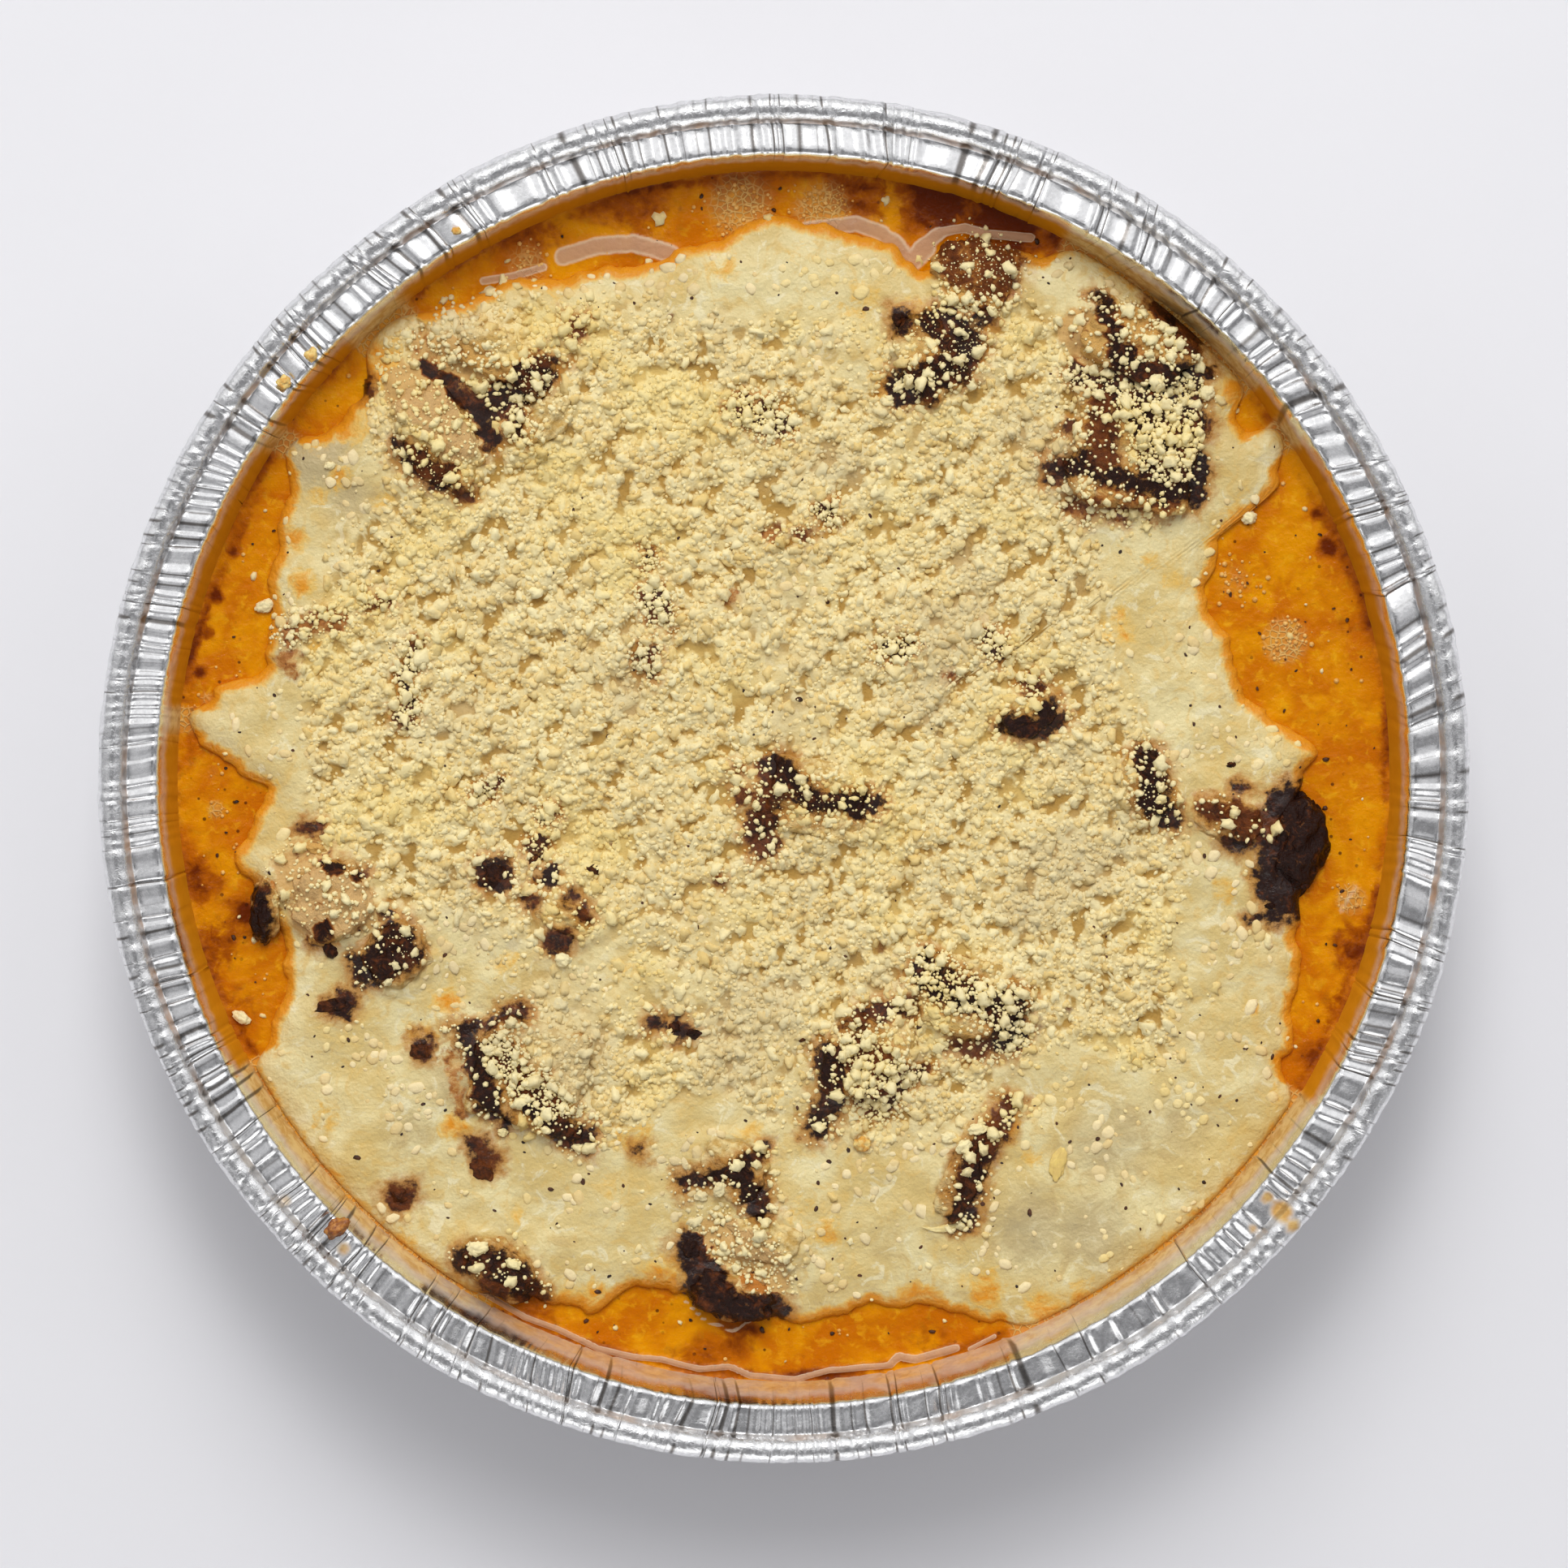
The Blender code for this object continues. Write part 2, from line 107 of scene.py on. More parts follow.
# Edge of the grated cheese, in the same way round CHEESE_MIDDLE
CHEESE_MIDDLE = (-4.9, 12.5)
CHEESE_EDGE = (
    (0, 52), (11, 50), (26, 51), (33, 60), (40, 67.7), (52, 65), (60, 59), (68, 52.5), (84, 50.6), (99, 51),
    (113, 57), (121, 62), (131, 69), (138, 69.5), (142, 64), (152, 58.7), (159, 57), (172, 60.4),
    (182, 61.8),
    (192, 61.8), (200, 61), (205, 58.3), (212, 56.5), (220, 50.8), (234, 51.2), (236, 62.5), (245, 66),
    (252, 64.2), (265, 55.6), (274, 59.8), (287, 64.8), (296, 66.4), (304, 63), (312, 66), (317, 77),
    (325, 73.2), (330, 67.3), (337, 64.5), (348, 57.6),
)

# Chunks: name, x, y, length, width, height, turn, boxiness and toast, which runs from 0 for pale crust
# to 1 for nearly black.
CHUNKS = (
    ("north_lump", 25.6, 67.6, 11.5, 9.5, 7.0, -12, 0.25, 0.78),
    ("north_crust", 19.6, 56.6, 12.5, 8.0, 7.5, -62, 0.45, 0.95),
    ("northeast_upper", 47.4, 58.6, 16.0, 9.0, 8.0, -26, 0.50, 0.34),
    ("northeast_lower", 46.6, 44.4, 17.5, 15.0, 8.2, -12, 0.75, 0.86),
    ("northwest_tongue", -46.4, 46.2, 16.5, 10.0, 8.0, -62, 0.25, 0.14),
    ("northwest_ridge", -37.6, 56.8, 14.5, 6.5, 7.5, -28, 0.45, 0.26),
    ("northwest_cleft", -32.6, 47.8, 10.5, 5.4, 7.0, 48, 0.35, 0.97),
    ("east_small", 33.0, 8.8, 7.6, 5.6, 6.0, 30, 0.45, 0.98),
    ("middle", 4.6, -2.6, 15.0, 10.5, 7.5, -14, 0.60, 0.88),
    ("east_crust", 49.0, -0.6, 9.8, 7.6, 7.0, -58, 0.40, 0.88),
    ("east_patch", 60.0, -5.4, 9.6, 6.0, 6.5, -18, 0.40, 0.76),
    ("east_glossy", 69.2, -9.0, 13.6, 8.2, 8.0, 80, 0.15, 1.0),
    ("west_glossy", -70.0, -17.2, 9.5, 4.2, 6.0, 84, 0.10, 0.92),
    ("west_pale", -60.9, -16.4, 11.6, 11.0, 8.0, 20, 0.30, 0.22),
    ("west_crust", -52.2, -23.6, 9.4, 9.0, 7.5, 35, 0.30, 0.92),
    ("west_patch", -29.6, -18.6, 9.0, 5.0, 6.0, -30, 0.30, 0.72),
    ("southwest_cube", -34.4, -40.0, 15.5, 14.0, 8.0, -14, 0.75, 0.80),
    ("south_crust", 25.2, -29.6, 15.5, 11.0, 7.5, -16, 0.45, 0.90),
    ("south_cube", 11.2, -37.6, 11.5, 11.5, 7.8, -14, 0.70, 0.76),
    ("south_stick", 24.6, -52.8, 15.0, 6.0, 7.0, 64, 0.50, 0.86),
    ("south_star", -6.6, -52.6, 10.8, 8.4, 7.0, -34, 0.35, 0.94),
    ("south_pale", -2.6, -62.2, 10.5, 7.0, 7.0, -12, 0.30, 0.16),
    ("south_glossy", -6.8, -70.0, 11.0, 7.0, 7.0, -12, 0.30, 0.98),
    ("south_slant", -38.6, -66.0, 11.5, 7.0, 7.0, -34, 0.30, 0.84),
)
CHUNK_ROUGHNESS = 0.20
PALE_CHUNKS = ("northwest_tongue", "west_pale", "south_pale")
GLOSSY_CHUNKS = ("east_glossy", "west_glossy", "south_glossy", "south_slant")

# Bits too small to be solids of their own: x, y, length, width, turn and toast
BITS = (
    (-39.0, -12.2, 6.2, 5.8, 0, 0.95), (-40.6, -51.8, 6.6, 4.6, -28, 0.80),
    (-51.6, -55.2, 4.6, 4.2, 0, 0.80),
    (-48.8, -35.8, 4.6, 4.2, 0, 0.85), (-60.6, -29.6, 7.6, 3.4, 12, 0.90),
    (-28.2, -46.6, 5.0, 4.2, 20, 0.97),
    (-62.4, -8.6, 6.0, 3.0, -30, 0.95), (-60.5, -21.8, 3.6, 5.0, 20, 0.92),
    (-14.6, -32.6, 2.8, 3.2, 20, 0.98),
    (-12.0, -33.4, 3.6, 3.0, -20, 0.98), (-12.4, -62.4, 4.6, 4.6, 0, 0.96),
    (14.6, -33.6, 3.4, 2.4, 30, 0.85),
    (-46.6, 42.4, 5.6, 4.2, -20, 0.97), (-33.4, -10.2, 3.4, 2.4, 40, 0.90),
    (-25.6, -11.4, 3.6, 2.6, 0, 0.93),
    (64.8, -16.2, 2.4, 1.4, 0, 0.97), (-55.2, -60.2, 4.4, 3.4, -50, 0.45), (15.4, 61.8, 3.4, 3.4, 0, 0.98),
    (61.6, 35.2, 2.6, 1.5, -50, 0.90), (2.6, -33.8, 3.2, 2.2, 20, 0.80), (59.6, 2.6, 2.2, 1.6, 0, 0.92),
)

# Marks are listed where they show against the rim, and lie about 9 mm below it
LOOK_SPREAD = 1.0105
LOOK_SHIFT = 0.55

# Browned and pale crust that shows through the cheese: points in millimetres, half width, toast, and how
# thickly crumbs lie on it. Where two overlap, the first counts.
CRUST_MARKS = (
    # north lump and north crust
    (((24.6, 69.8), (27.2, 68.6)), 4.3, 0.62, 0.05), (((23.0, 65.6), (28.0, 65.2)), 2.0, 0.30, 0.60),
    (((15.8, 61.7),), 1.7, 0.95, 0.0),
    (((20.4, 61.0), (23.8, 59.6), (23.8, 56.0), (20.2, 54.4), (15.6, 52.6)), 2.3, 0.90, 0.16),
    (((27.0, 62.7),), 1.0, 0.9, 0.1),
    # northeast upper crust, with dark lines in its crevices that are painted shade
    (((41.9, 64.4), (43.5, 60.0), (45.2, 57.4), (44.0, 54.4)), 1.0, 0.93, 0.16),
    (((44.0, 54.2), (48.7, 54.9), (53.9, 55.2), (56.4, 54.7)), 1.0, 0.93, 0.05),
    (((39.4, 60.6), (41.0, 57.8)), 2.7, 0.16, 0.06), (((46.0, 61.6), (48.4, 59.2)), 2.6, 0.24, 0.35),
    (((50.6, 62.2), (53.4, 60.0)), 3.1, 0.80, 0.98), (((40.2, 55.4), (42.0, 54.0)), 2.4, 0.90, 0.85),
    # northeast lower block
    (((42.2, 51.0), (41.9, 48.0), (42.6, 43.6)), 1.7, 0.70, 0.10),
    (((36.2, 41.8), (40.3, 42.9)), 1.5, 0.95, 0.05),
    (((42.1, 41.9), (46.6, 40.4), (50.4, 38.6), (54.4, 38.6), (55.3, 42.0)), 1.3, 0.97, 0.05),
    (((54.9, 51.0), (54.9, 46.6)), 0.9, 0.90, 0.2), (((55.6, 48.6), (56.2, 47.4)), 0.8, 0.80, 0.0),
    (((42.4, 38.7), (46.0, 37.6), (50.8, 36.4)), 1.2, 0.36, 0.12),
    (((38.6, 37.2), (40.4, 36.6)), 1.3, 0.62, 0.20),
    (((44.0, 36.2),), 1.0, 0.62, 0.3), (((38.0, 47.7),), 0.9, 0.8, 0.2),
    (((46.8, 52.0), (51.2, 52.4), (50.4, 47.0), (51.0, 42.8)), 3.9, 0.90, 0.98),
    # northwest tongue, ridge and cleft
    (((-47.4, 55.8), (-42.7, 51.9), (-40.1, 49.3), (-38.8, 45.4)), 0.9, 0.95, 0.0),
    (((-50.0, 44.1), (-46.7, 41.5), (-44.8, 40.9)), 1.6, 0.85, 0.18), (((-42.2, 38.9),), 1.0, 0.7, 0.2),
    (((-40.1, 50.0), (-36.2, 51.9), (-33.6, 54.5), (-31.5, 55.8)), 1.8, 0.88, 0.25),
    (((-35.4, 47.6), (-36.8, 50.0)), 1.3, 0.85, 0.35), (((-27.8, 61.0),), 1.5, 0.66, 0.5),
    (((-47.0, 57.8), (-42.0, 56.2), (-38.5, 54.0)), 2.4, 0.20, 0.22),
    (((-50.0, 53.0), (-46.0, 49.5), (-43.5, 45.5)), 2.9, 0.06, 0.22),
    (((-56.5, 53.2),), 1.4, 0.82, 0.0),
    # east small, middle
    (((30.1, 7.9), (33.7, 7.5), (36.3, 8.5)), 1.3, 0.98, 0.0),
    (((35.3, 10.5), (35.0, 8.0)), 1.0, 0.98, 0.05),
    (((33.2, 13.4),), 1.1, 0.85, 0.4),
    (((-1.2, 2.6), (1.4, 0.1), (4.0, -2.5), (8.2, -2.6), (11.8, -2.6)), 1.5, 0.98, 0.10),
    (((-1.2, 2.3), (-2.3, -3.5), (-3.3, -6.1), (-2.7, -8.2)), 1.7, 0.80, 0.18),
    (((-5.1, -1.4),), 1.3, 0.7, 0.2),
    # east crust, patch and glossy lump, with its thin tail
    (((48.3, 3.3), (49.4, -0.4), (48.9, -2.5), (51.5, -4.2)), 1.7, 0.97, 0.22),
    (((57.2, -3.3), (61.4, -4.6), (65.0, -5.6)), 1.6, 0.72, 0.05),
    (((59.8, -7.7), (61.5, -7.5)), 1.2, 0.9, 0.0),
    (((60.8, -0.9),), 0.9, 0.9, 0.0), (((64.3, -13.4),), 1.0, 0.9, 0.0),
    (((69.5, -6.0), (69.5, -11.5)), 6.5, 1.0, 0.0),
    (((63.0, -18.0), (66.0, -17.6), (68.8, -15.6)), 0.45, 1.0, 0.0),
    # west glossy, pale, crust and patch
    (((-69.8, -15.0), (-70.0, -19.0)), 1.5, 1.0, 0.0), (((-60.5, -10.7), (-59.0, -11.2)), 1.1, 0.95, 0.1),
    (((-61.6, -20.4), (-61.3, -19.2)), 1.2, 0.9, 0.0), (((-64.6, -6.3), (-62.5, -6.0)), 0.6, 0.8, 0.0),
    (((-56.4, -12.4),), 0.8, 0.85, 0.2), (((-52.5, -17.1),), 1.1, 0.9, 0.3),
    (((-56.4, -24.6), (-52.5, -24.3), (-50.3, -22.0), (-52.0, -19.9), (-54.7, -23.2)), 1.7, 0.95, 0.06),
    (((-60.3, -29.5), (-58.2, -29.2)), 1.2, 0.95, 0.0),
    (((-64.5, -12.0), (-62.0, -16.5), (-58.5, -16.0)), 3.8, 0.12, 0.12),
    (((-38.7, -12.1),), 2.2, 0.93, 0.04), (((-31.2, -12.4),), 1.2, 0.9, 0.2),
    (((-33.9, -15.7),), 0.8, 0.85, 0.0),
    (((-28.4, -14.9),), 0.8, 0.85, 0.0), (((-26.6, -17.3),), 1.0, 0.85, 0.1),
    (((-30.9, -21.2), (-29.3, -20.9)), 1.2, 0.85, 0.0),
    (((-32.1, -7.9), (-33.4, -8.6)), 0.9, 0.8, 0.4),
    # smudges of crust in the cream at the west
    (((-65.9, 20.0), (-63.0, 21.6), (-59.0, 21.4)), 1.1, 0.50, 0.35), (((-66.0, 16.4),), 1.4, 0.40, 0.0),
    (((-49.6, 18.0), (-50.0, 14.6), (-50.4, 8.4)), 0.9, 0.85, 0.75),
    (((-55.0, 25.0), (-53.0, 24.0)), 0.9, 0.6, 0.7),
    # places in the cheese where dark crust shows between the crumbs
    (((-5.0, 50.0), (-1.0, 48.0)), 1.9, 0.86, 1.0), (((-18.1, 30.4),), 0.9, 0.8, 0.9),
    (((-17.6, 25.0), (-16.4, 22.6)), 1.3, 0.75, 1.0),
    (((-18.2, 17.4), (-18.4, 15.2)), 1.0, 0.85, 0.8), (((-2.0, 33.5),), 1.0, 0.5, 0.3),
    (((2.7, 33.3),), 1.0, 0.62, 0.3),
    (((-7.2, 24.6),), 0.7, 0.5, 0.0), (((5.9, 36.1),), 1.2, 0.86, 1.0),
    (((27.2, 19.4), (28.6, 18.2)), 1.3, 0.9, 1.0),
    (((13.6, 18.0), (16.0, 18.4)), 1.2, 0.86, 1.0), (((22.6, 14.7),), 0.7, 0.5, 0.2),
    (((-31.7, -4.1),), 1.1, 0.88, 0.8),
    (((-40.6, -1.7), (-38.3, 0.1)), 0.8, 0.86, 0.9), (((-6.7, 1.7),), 0.9, 0.6, 0.5),
    (((-8.8, -12.9),), 0.6, 0.6, 0.2),
    # southwest cube, and the browned bubbles by it
    (((-42.6, -33.1), (-40.9, -38.0), (-39.2, -42.5)), 1.6, 0.97, 0.06),
    (((-42.6, -32.8), (-38.7, -31.4), (-34.8, -30.4)), 0.8, 0.85, 0.1),
    (((-29.8, -46.2), (-27.1, -47.3)), 1.8, 0.97, 0.10), (((-37.6, -45.3),), 0.9, 0.95, 0.0),
    (((-34.3, -43.0), (-33.0, -44.0)), 0.9, 0.9, 0.2),
    (((-44.8, -36.4), (-43.0, -43.4)), 0.8, 0.34, 0.0),
    (((-38.0, -36.0), (-34.0, -40.5), (-30.5, -44.0)), 2.2, 0.80, 0.95),
    (((-41.0, -48.6), (-39.4, -50.4)), 1.4, 0.78, 0.0), (((-48.1, -35.3),), 1.4, 0.85, 0.0),
    (((-51.4, -55.5),), 1.9, 0.75, 0.0),
    (((-17.3, -32.0),), 1.0, 0.98, 0.0), (((-13.8, -32.8),), 1.4, 0.97, 0.0),
    (((-19.8, -48.9), (-19.2, -49.0)), 0.5, 0.95, 0.0),
    # south crust, cube and stick
    (((19.0, -24.8), (22.7, -27.8), (26.9, -28.8), (30.5, -29.8), (29.9, -33.6)), 2.3, 0.95, 0.60),
    (((23.2, -34.8), (26.9, -35.4)), 1.3, 0.65, 0.10),
    (((9.6, -31.4), (12.8, -30.4), (16.4, -29.8)), 1.1, 0.8, 0.2),
    (((6.2, -35.6), (6.2, -41.3), (4.6, -46.0)), 1.5, 0.95, 0.05), (((14.3, -36.1),), 1.2, 0.6, 0.1),
    (((19.0, -38.2), (17.5, -38.8)), 0.9, 0.9, 0.4),
    (((10.5, -36.0), (14.0, -38.8), (12.0, -42.0)), 2.6, 0.75, 1.0),
    (((29.9, -43.4), (27.9, -46.5)), 1.5, 0.75, 0.2),
    (((27.9, -46.5), (25.3, -50.7), (24.3, -54.8), (24.3, -57.6)), 1.8, 0.88, 0.05),
    # south star, glossy, pale and slant
    (((-13.2, -53.4), (-9.3, -52.5), (-5.5, -50.8), (-3.5, -49.8)), 1.2, 0.95, 0.05),
    (((-5.5, -51.5), (-5.0, -53.6), (-3.3, -56.2)), 1.8, 0.96, 0.10),
    (((-12.7, -62.2), (-11.1, -63.0)), 1.7, 0.97, 0.0),
    (((-11.1, -65.1), (-9.3, -69.2), (-5.5, -70.5), (-1.8, -71.0)), 2.4, 0.97, 0.0),
    (((-8.8, -60.2), (-5.5, -62.4), (-1.6, -66.2)), 2.6, 0.08, 0.35),
    (((-42.4, -64.1), (-38.0, -64.2), (-35.2, -66.6), (-34.0, -68.8)), 1.9, 0.9, 0.06),
    (((-38.7, -67.4),), 1.9, 0.72, 0.0),
)
HALO = 2.6
BARE_FROM = 0.46


def srgb(red, green, blue):
    """A colour from its three values out of 255."""
    def linear(value):
        value /= 255
        return value / 12.92 if value <= 0.04045 else ((value + 0.055) / 1.055) ** 2.4
    return (linear(red), linear(green), linear(blue), 1.0)


def ease(value, low, high):
    """0 below low, 1 above high, and smooth between."""
    share = min(1.0, max(0.0, (value - low) / (high - low)))
    return share * share * (3 - 2 * share)


def ring_value(table, angle):
    """A value listed round a circle, eased between its points."""
    degrees = math.degrees(angle) % 360
    after = bisect.bisect_right(table, (degrees, 1e9))
    a0, r0 = table[after - 1]
    a1, r1 = table[after] if after < len(table) else (table[0][0] + 360, table[0][1])
    return r0 + (r1 - r0) * ease(degrees, a0, a1)


def grain_noise(x, y, size, seed=0.0):
    """Smooth noise over the plane, from -1 to 1, for a size in millimetres."""
    return noise.noise(Vector((x / (size * MM), y / (size * MM), seed)))


def ridge_noise(x, y):
    """Soft ridges that run from lower left to upper right, as the cheese was sprinkled."""
    along, across = 0.77 * x + 0.64 * y, 0.77 * y - 0.64 * x
    return noise.noise(Vector((along / (5.0 * MM), across / (2.4 * MM), 21.0)))


def pit_noise(x, y):
    """Where the grated cheese leaves pits: 0 on its clusters and 1 in a pit."""
    low = 0.6 * ridge_noise(x, y) + 0.55 * grain_noise(x, y, 1.7, 11.0) + 0.3 * grain_noise(x, y, 0.9, 12.0)
    return ease(-low, 0.02, 0.34)


def line_distance(x, y, points):
    """Distance from a place to a line through points, all in millimetres."""
    best = math.hypot(x - points[0][0], y - points[0][1])
    for (x0, y0), (x1, y1) in zip(points, points[1:]):
        run_x, run_y = x1 - x0, y1 - y0
        share = ((x - x0) * run_x + (y - y0) * run_y) / (run_x * run_x + run_y * run_y)
        share = min(1.0, max(0.0, share))
        best = min(best, math.hypot(x - x0 - share * run_x, y - y0 - share * run_y))
    return best


class Marks:
    """Marks on the food, kept by place: each is a line of points, a half width and its values."""

    CELL = 6.0

    def __init__(self, marks, margin=0.0):
        self.near = {}
        for mark in marks:
            points, half = mark[0], mark[1] + margin
            spans = [[p[axis] for p in points] for axis in (0, 1)]
            cells = []
            for span in spans:
                first, last = (min(span) - half) // self.CELL, (max(span) + half) // self.CELL
                cells.append(range(int(first), int(last) + 1))
            for i in cells[0]:
                for j in cells[1]:
                    self.near.setdefault((i, j), []).append(mark)

    def here(self, x, y):
        """Each mark near a place in metres, with the distance inside its edge in millimetres."""
        x, y = x / MM / LOOK_SPREAD, (y / MM + LOOK_SHIFT) / LOOK_SPREAD
        for mark in self.near.get((int(x // self.CELL), int(y // self.CELL)), ()):
            yield mark[1] - line_distance(x, y, mark[0]), mark

    def value(self, x, y, sharp=2):
        """The strongest mark at a place, soft towards each edge."""
        best = 0.0
        for depth, mark in self.here(x, y):
            if depth > 0:
                away = 1 - depth / mark[1]
                best = max(best, mark[2] * (1 - away * away) ** sharp)
        return best


def spot_marks(spots):
    """Round marks from x, y, radius and strength."""
    return Marks([(((x, y),), radius, strength) for x, y, radius, strength in spots])


# Finishes


class Wire:
    """A value inside a finish, with the arithmetic that the finishes use."""

    def __init__(self, finish, socket):
        self.finish = finish
        self.socket = socket

    def maths(self, operation, *terms):
        return self.finish.node("ShaderNodeMath", {"operation": operation}, dict(enumerate(terms)))

    def __add__(self, other):
        return self.maths("ADD", self, other)

    def __radd__(self, other):
        return self.maths("ADD", other, self)

    def __sub__(self, other):
        return self.maths("SUBTRACT", self, other)

    def __rsub__(self, other):
        return self.maths("SUBTRACT", other, self)

    def __mul__(self, other):
        return self.maths("MULTIPLY", self, other)

    def __rmul__(self, other):
        return self.maths("MULTIPLY", other, self)


class Nodes:
    """A node tree, with one method that adds any node."""

    def __init__(self, tree):
        self.tree = tree

    def node(self, kind, settings=None, inputs=None, output=0):
        made = self.tree.nodes.new(kind)
        for name, value in (settings or {}).items():
            setattr(made, name, value)
        for name, value in (inputs or {}).items():
            if isinstance(value, Wire):
                self.tree.links.new(value.socket, made.inputs[name])
            else:
                made.inputs[name].default_value = value
        return Wire(self, made.outputs[output])

    def span(self, value, low, high):
        """0 at low and 1 at high, smooth between."""
        inputs = {"Value": value, "From Min": low, "From Max": high}
        return self.node("ShaderNodeMapRange", {"interpolation_type": "SMOOTHSTEP"}, inputs)

    def blend(self, factor, first, second):
        """The colour first where the factor is 0, and second where it is 1."""
        return self.node("ShaderNodeMix", {"data_type": "RGBA"}, {0: factor, 6: first, 7: second}, 2)


class Finish(Nodes):
    """A material that is put together from nodes around one Principled shader."""

    def __init__(self, name, **constants):
        self.material = bpy.data.materials.new(name)
        self.material.use_nodes = True
        super().__init__(self.material.node_tree)
        self.shader = self.tree.nodes["Principled BSDF"]
        for socket, value in constants.items():
            self.shader.inputs[socket.replace("_", " ")].default_value = value

    def place(self):
        return self.node("ShaderNodeTexCoord", output="Object")

    def noise(self, size, detail=2.0, roughness=0.5, bend=0.0):
        """Smooth noise, for a size in millimetres."""
        inputs = {"Vector": self.place(), "Scale": 1 / (size * MM), "Detail": detail,
                  "Roughness": roughness, "Distortion": bend}
        return self.node("ShaderNodeTexNoise", None, inputs)

    def cells(self, size, feature="F1"):
        """Distance in a pattern of cells, for a size in millimetres."""
        inputs = {"Vector": self.place(), "Scale": 1 / (size * MM)}
        return self.node("ShaderNodeTexVoronoi", {"feature": feature}, inputs, "Distance")

    def attribute(self, name):
        return self.node("ShaderNodeAttribute", {"attribute_name": name}, None, "Fac")

    def feed(self, socket, value):
        self.tree.links.new(value.socket, self.shader.inputs[socket])

    def dull_skin(self, share, colour):
        """A skin without gloss over the shader, as thick as share says."""
        skin = self.node("ShaderNodeBsdfDiffuse", None, {"Color": colour})
        glossy = Wire(self, self.shader.outputs[0])
        mixed = self.node("ShaderNodeMixShader", None, {0: share, 1: glossy, 2: skin})
        self.tree.links.new(mixed.socket, self.tree.nodes["Material Output"].inputs["Surface"])

    def bump(self, height, distance, strength=1.0):
        inputs = {"Height": height, "Distance": distance, "Strength": strength}
        self.feed("Normal", self.node("ShaderNodeBump", None, inputs, "Normal"))


def foil_finish():
    finish = Finish("foil", Specular_IOR_Level=0.0)
    film_and_sheen = finish.attribute("film_and_sheen")
    oily_and_reflected = finish.attribute("oily_and_reflected")
    crease_shade = finish.span(finish.attribute("crease"), 0.30, 0.80)
    rolled = finish.attribute("rolled")
    patches = finish.noise(5.0, 4.0, 0.6)
    scuffs = finish.noise(0.7, 4.0, 0.6)
    # The film on the wall is partly real film and partly painted reflection of the sauce and cream beside it.
    stain_and_reflection = finish.span(film_and_sheen + 0.5 * (patches - 0.5), 0.20, 0.72)
    bright = finish.blend(finish.span(scuffs, 0.3, 0.7), (0.78, 0.78, 0.785, 1), (0.92, 0.92, 0.925, 1))
    smear = finish.span(finish.noise(1.8, 4.0, 0.65, 0.5), 0.38, 0.62)
    creamy = finish.blend(smear, srgb(224, 190, 126), srgb(204, 158, 90))
    brown = finish.blend(smear, srgb(228, 160, 44), srgb(180, 108, 14))
    coated = finish.blend(stain_and_reflection, bright, finish.blend(oily_and_reflected, creamy, brown))
    # Painted shade: dark lines along the sharp folds, in the groove and round the bead's outer edge.
    finish.feed("Base Color", finish.blend(0.8 * crease_shade, coated, srgb(74, 62, 50)))
    finish.feed("Metallic", 1.0 - stain_and_reflection)
    finish.feed("Roughness", 0.20 + 0.12 * scuffs + 0.55 * stain_and_reflection)
    # Painted reflection: beside the sauce, a dull skin in the sauce's orange stands in for the foil's
    # reflection of it, over a real film.
    finish.dull_skin(0.92 * stain_and_reflection * oily_and_reflected, srgb(206, 134, 22))
    crinkle = finish.noise(1.1, 4.0, 0.65, 0.8)
    finish.bump(crinkle * (0.15 + 0.40 * rolled), 0.0004, 0.6)
    return finish.material


def sauce_finish():
    finish = Finish("sauce", IOR=1.45, Specular_IOR_Level=0.18)
    dark_and_shade = finish.attribute("dark_and_shade")
    foam = finish.attribute("foam")
    film_and_sheen = finish.attribute("film_and_sheen")
    cloud = finish.noise(8.0, 3.0, 0.55, 0.6)
    fine = finish.noise(1.6, 3.0, 0.6, 0.5)
    gold = finish.blend(finish.span(cloud, 0.34, 0.62), srgb(224, 146, 0), srgb(198, 108, 0))
    gold = finish.blend(0.7 * finish.span(fine, 0.52, 0.72), gold, srgb(232, 166, 20))
    # Darker sauce, partly its own dark patches and partly painted shade against the wall.
    depth = finish.span(dark_and_shade + 0.9 * (fine - 0.5) + 0.7 * (cloud - 0.5), 0.10, 1.05)
    colour = finish.blend(finish.span(depth, 0.0, 0.55), gold, srgb(166, 84, 0))
    colour = finish.blend(finish.span(depth, 0.45, 1.0), colour, srgb(104, 38, 0))
    specks = finish.span(finish.cells(1.9), 0.16, 0.10) * finish.span(finish.noise(9.0), 0.48, 0.60)
    colour = finish.blend(0.8 * specks, colour, srgb(70, 24, 2))
    bubbles = finish.span(finish.cells(0.9, "DISTANCE_TO_EDGE"), 0.16, 0.03)
    froth = finish.span(foam + 0.5 * (cloud - 0.5), 0.15, 0.8)
    colour = finish.blend(froth * (0.25 + 0.6 * bubbles), colour, srgb(228, 186, 110))
    # Painted highlight: the pale bands along the meniscus, laid on as a pale film colour.
    thick = finish.span(film_and_sheen + 0.3 * (fine - 0.5), 0.50, 0.85)
    skin = finish.blend(thick, srgb(232, 210, 180), srgb(194, 152, 118))
    colour = finish.blend(0.85 * finish.span(film_and_sheen + 0.4 * (fine - 0.5), 0.32, 0.70), colour, skin)
    finish.feed("Base Color", colour)
    finish.feed("Roughness", 0.07 + 0.16 * fine + 0.2 * froth)
    finish.bump(finish.noise(2.0, 4.0, 0.6) + 0.4 * froth * bubbles, 0.0006, 0.7)
    return finish.material


def cheese_shade(finish, colour):
    """The broad yellow and grey patches of the cheese, the same on every grain and on the cream under it."""
    broad = finish.noise(15.0, 2.0, 0.5)
    colour = finish.blend(0.5 * finish.span(broad, 0.50, 0.68), colour, srgb(236, 212, 134))
    return finish.blend(0.45 * finish.span(broad, 0.46, 0.32), colour, srgb(208, 190, 146))


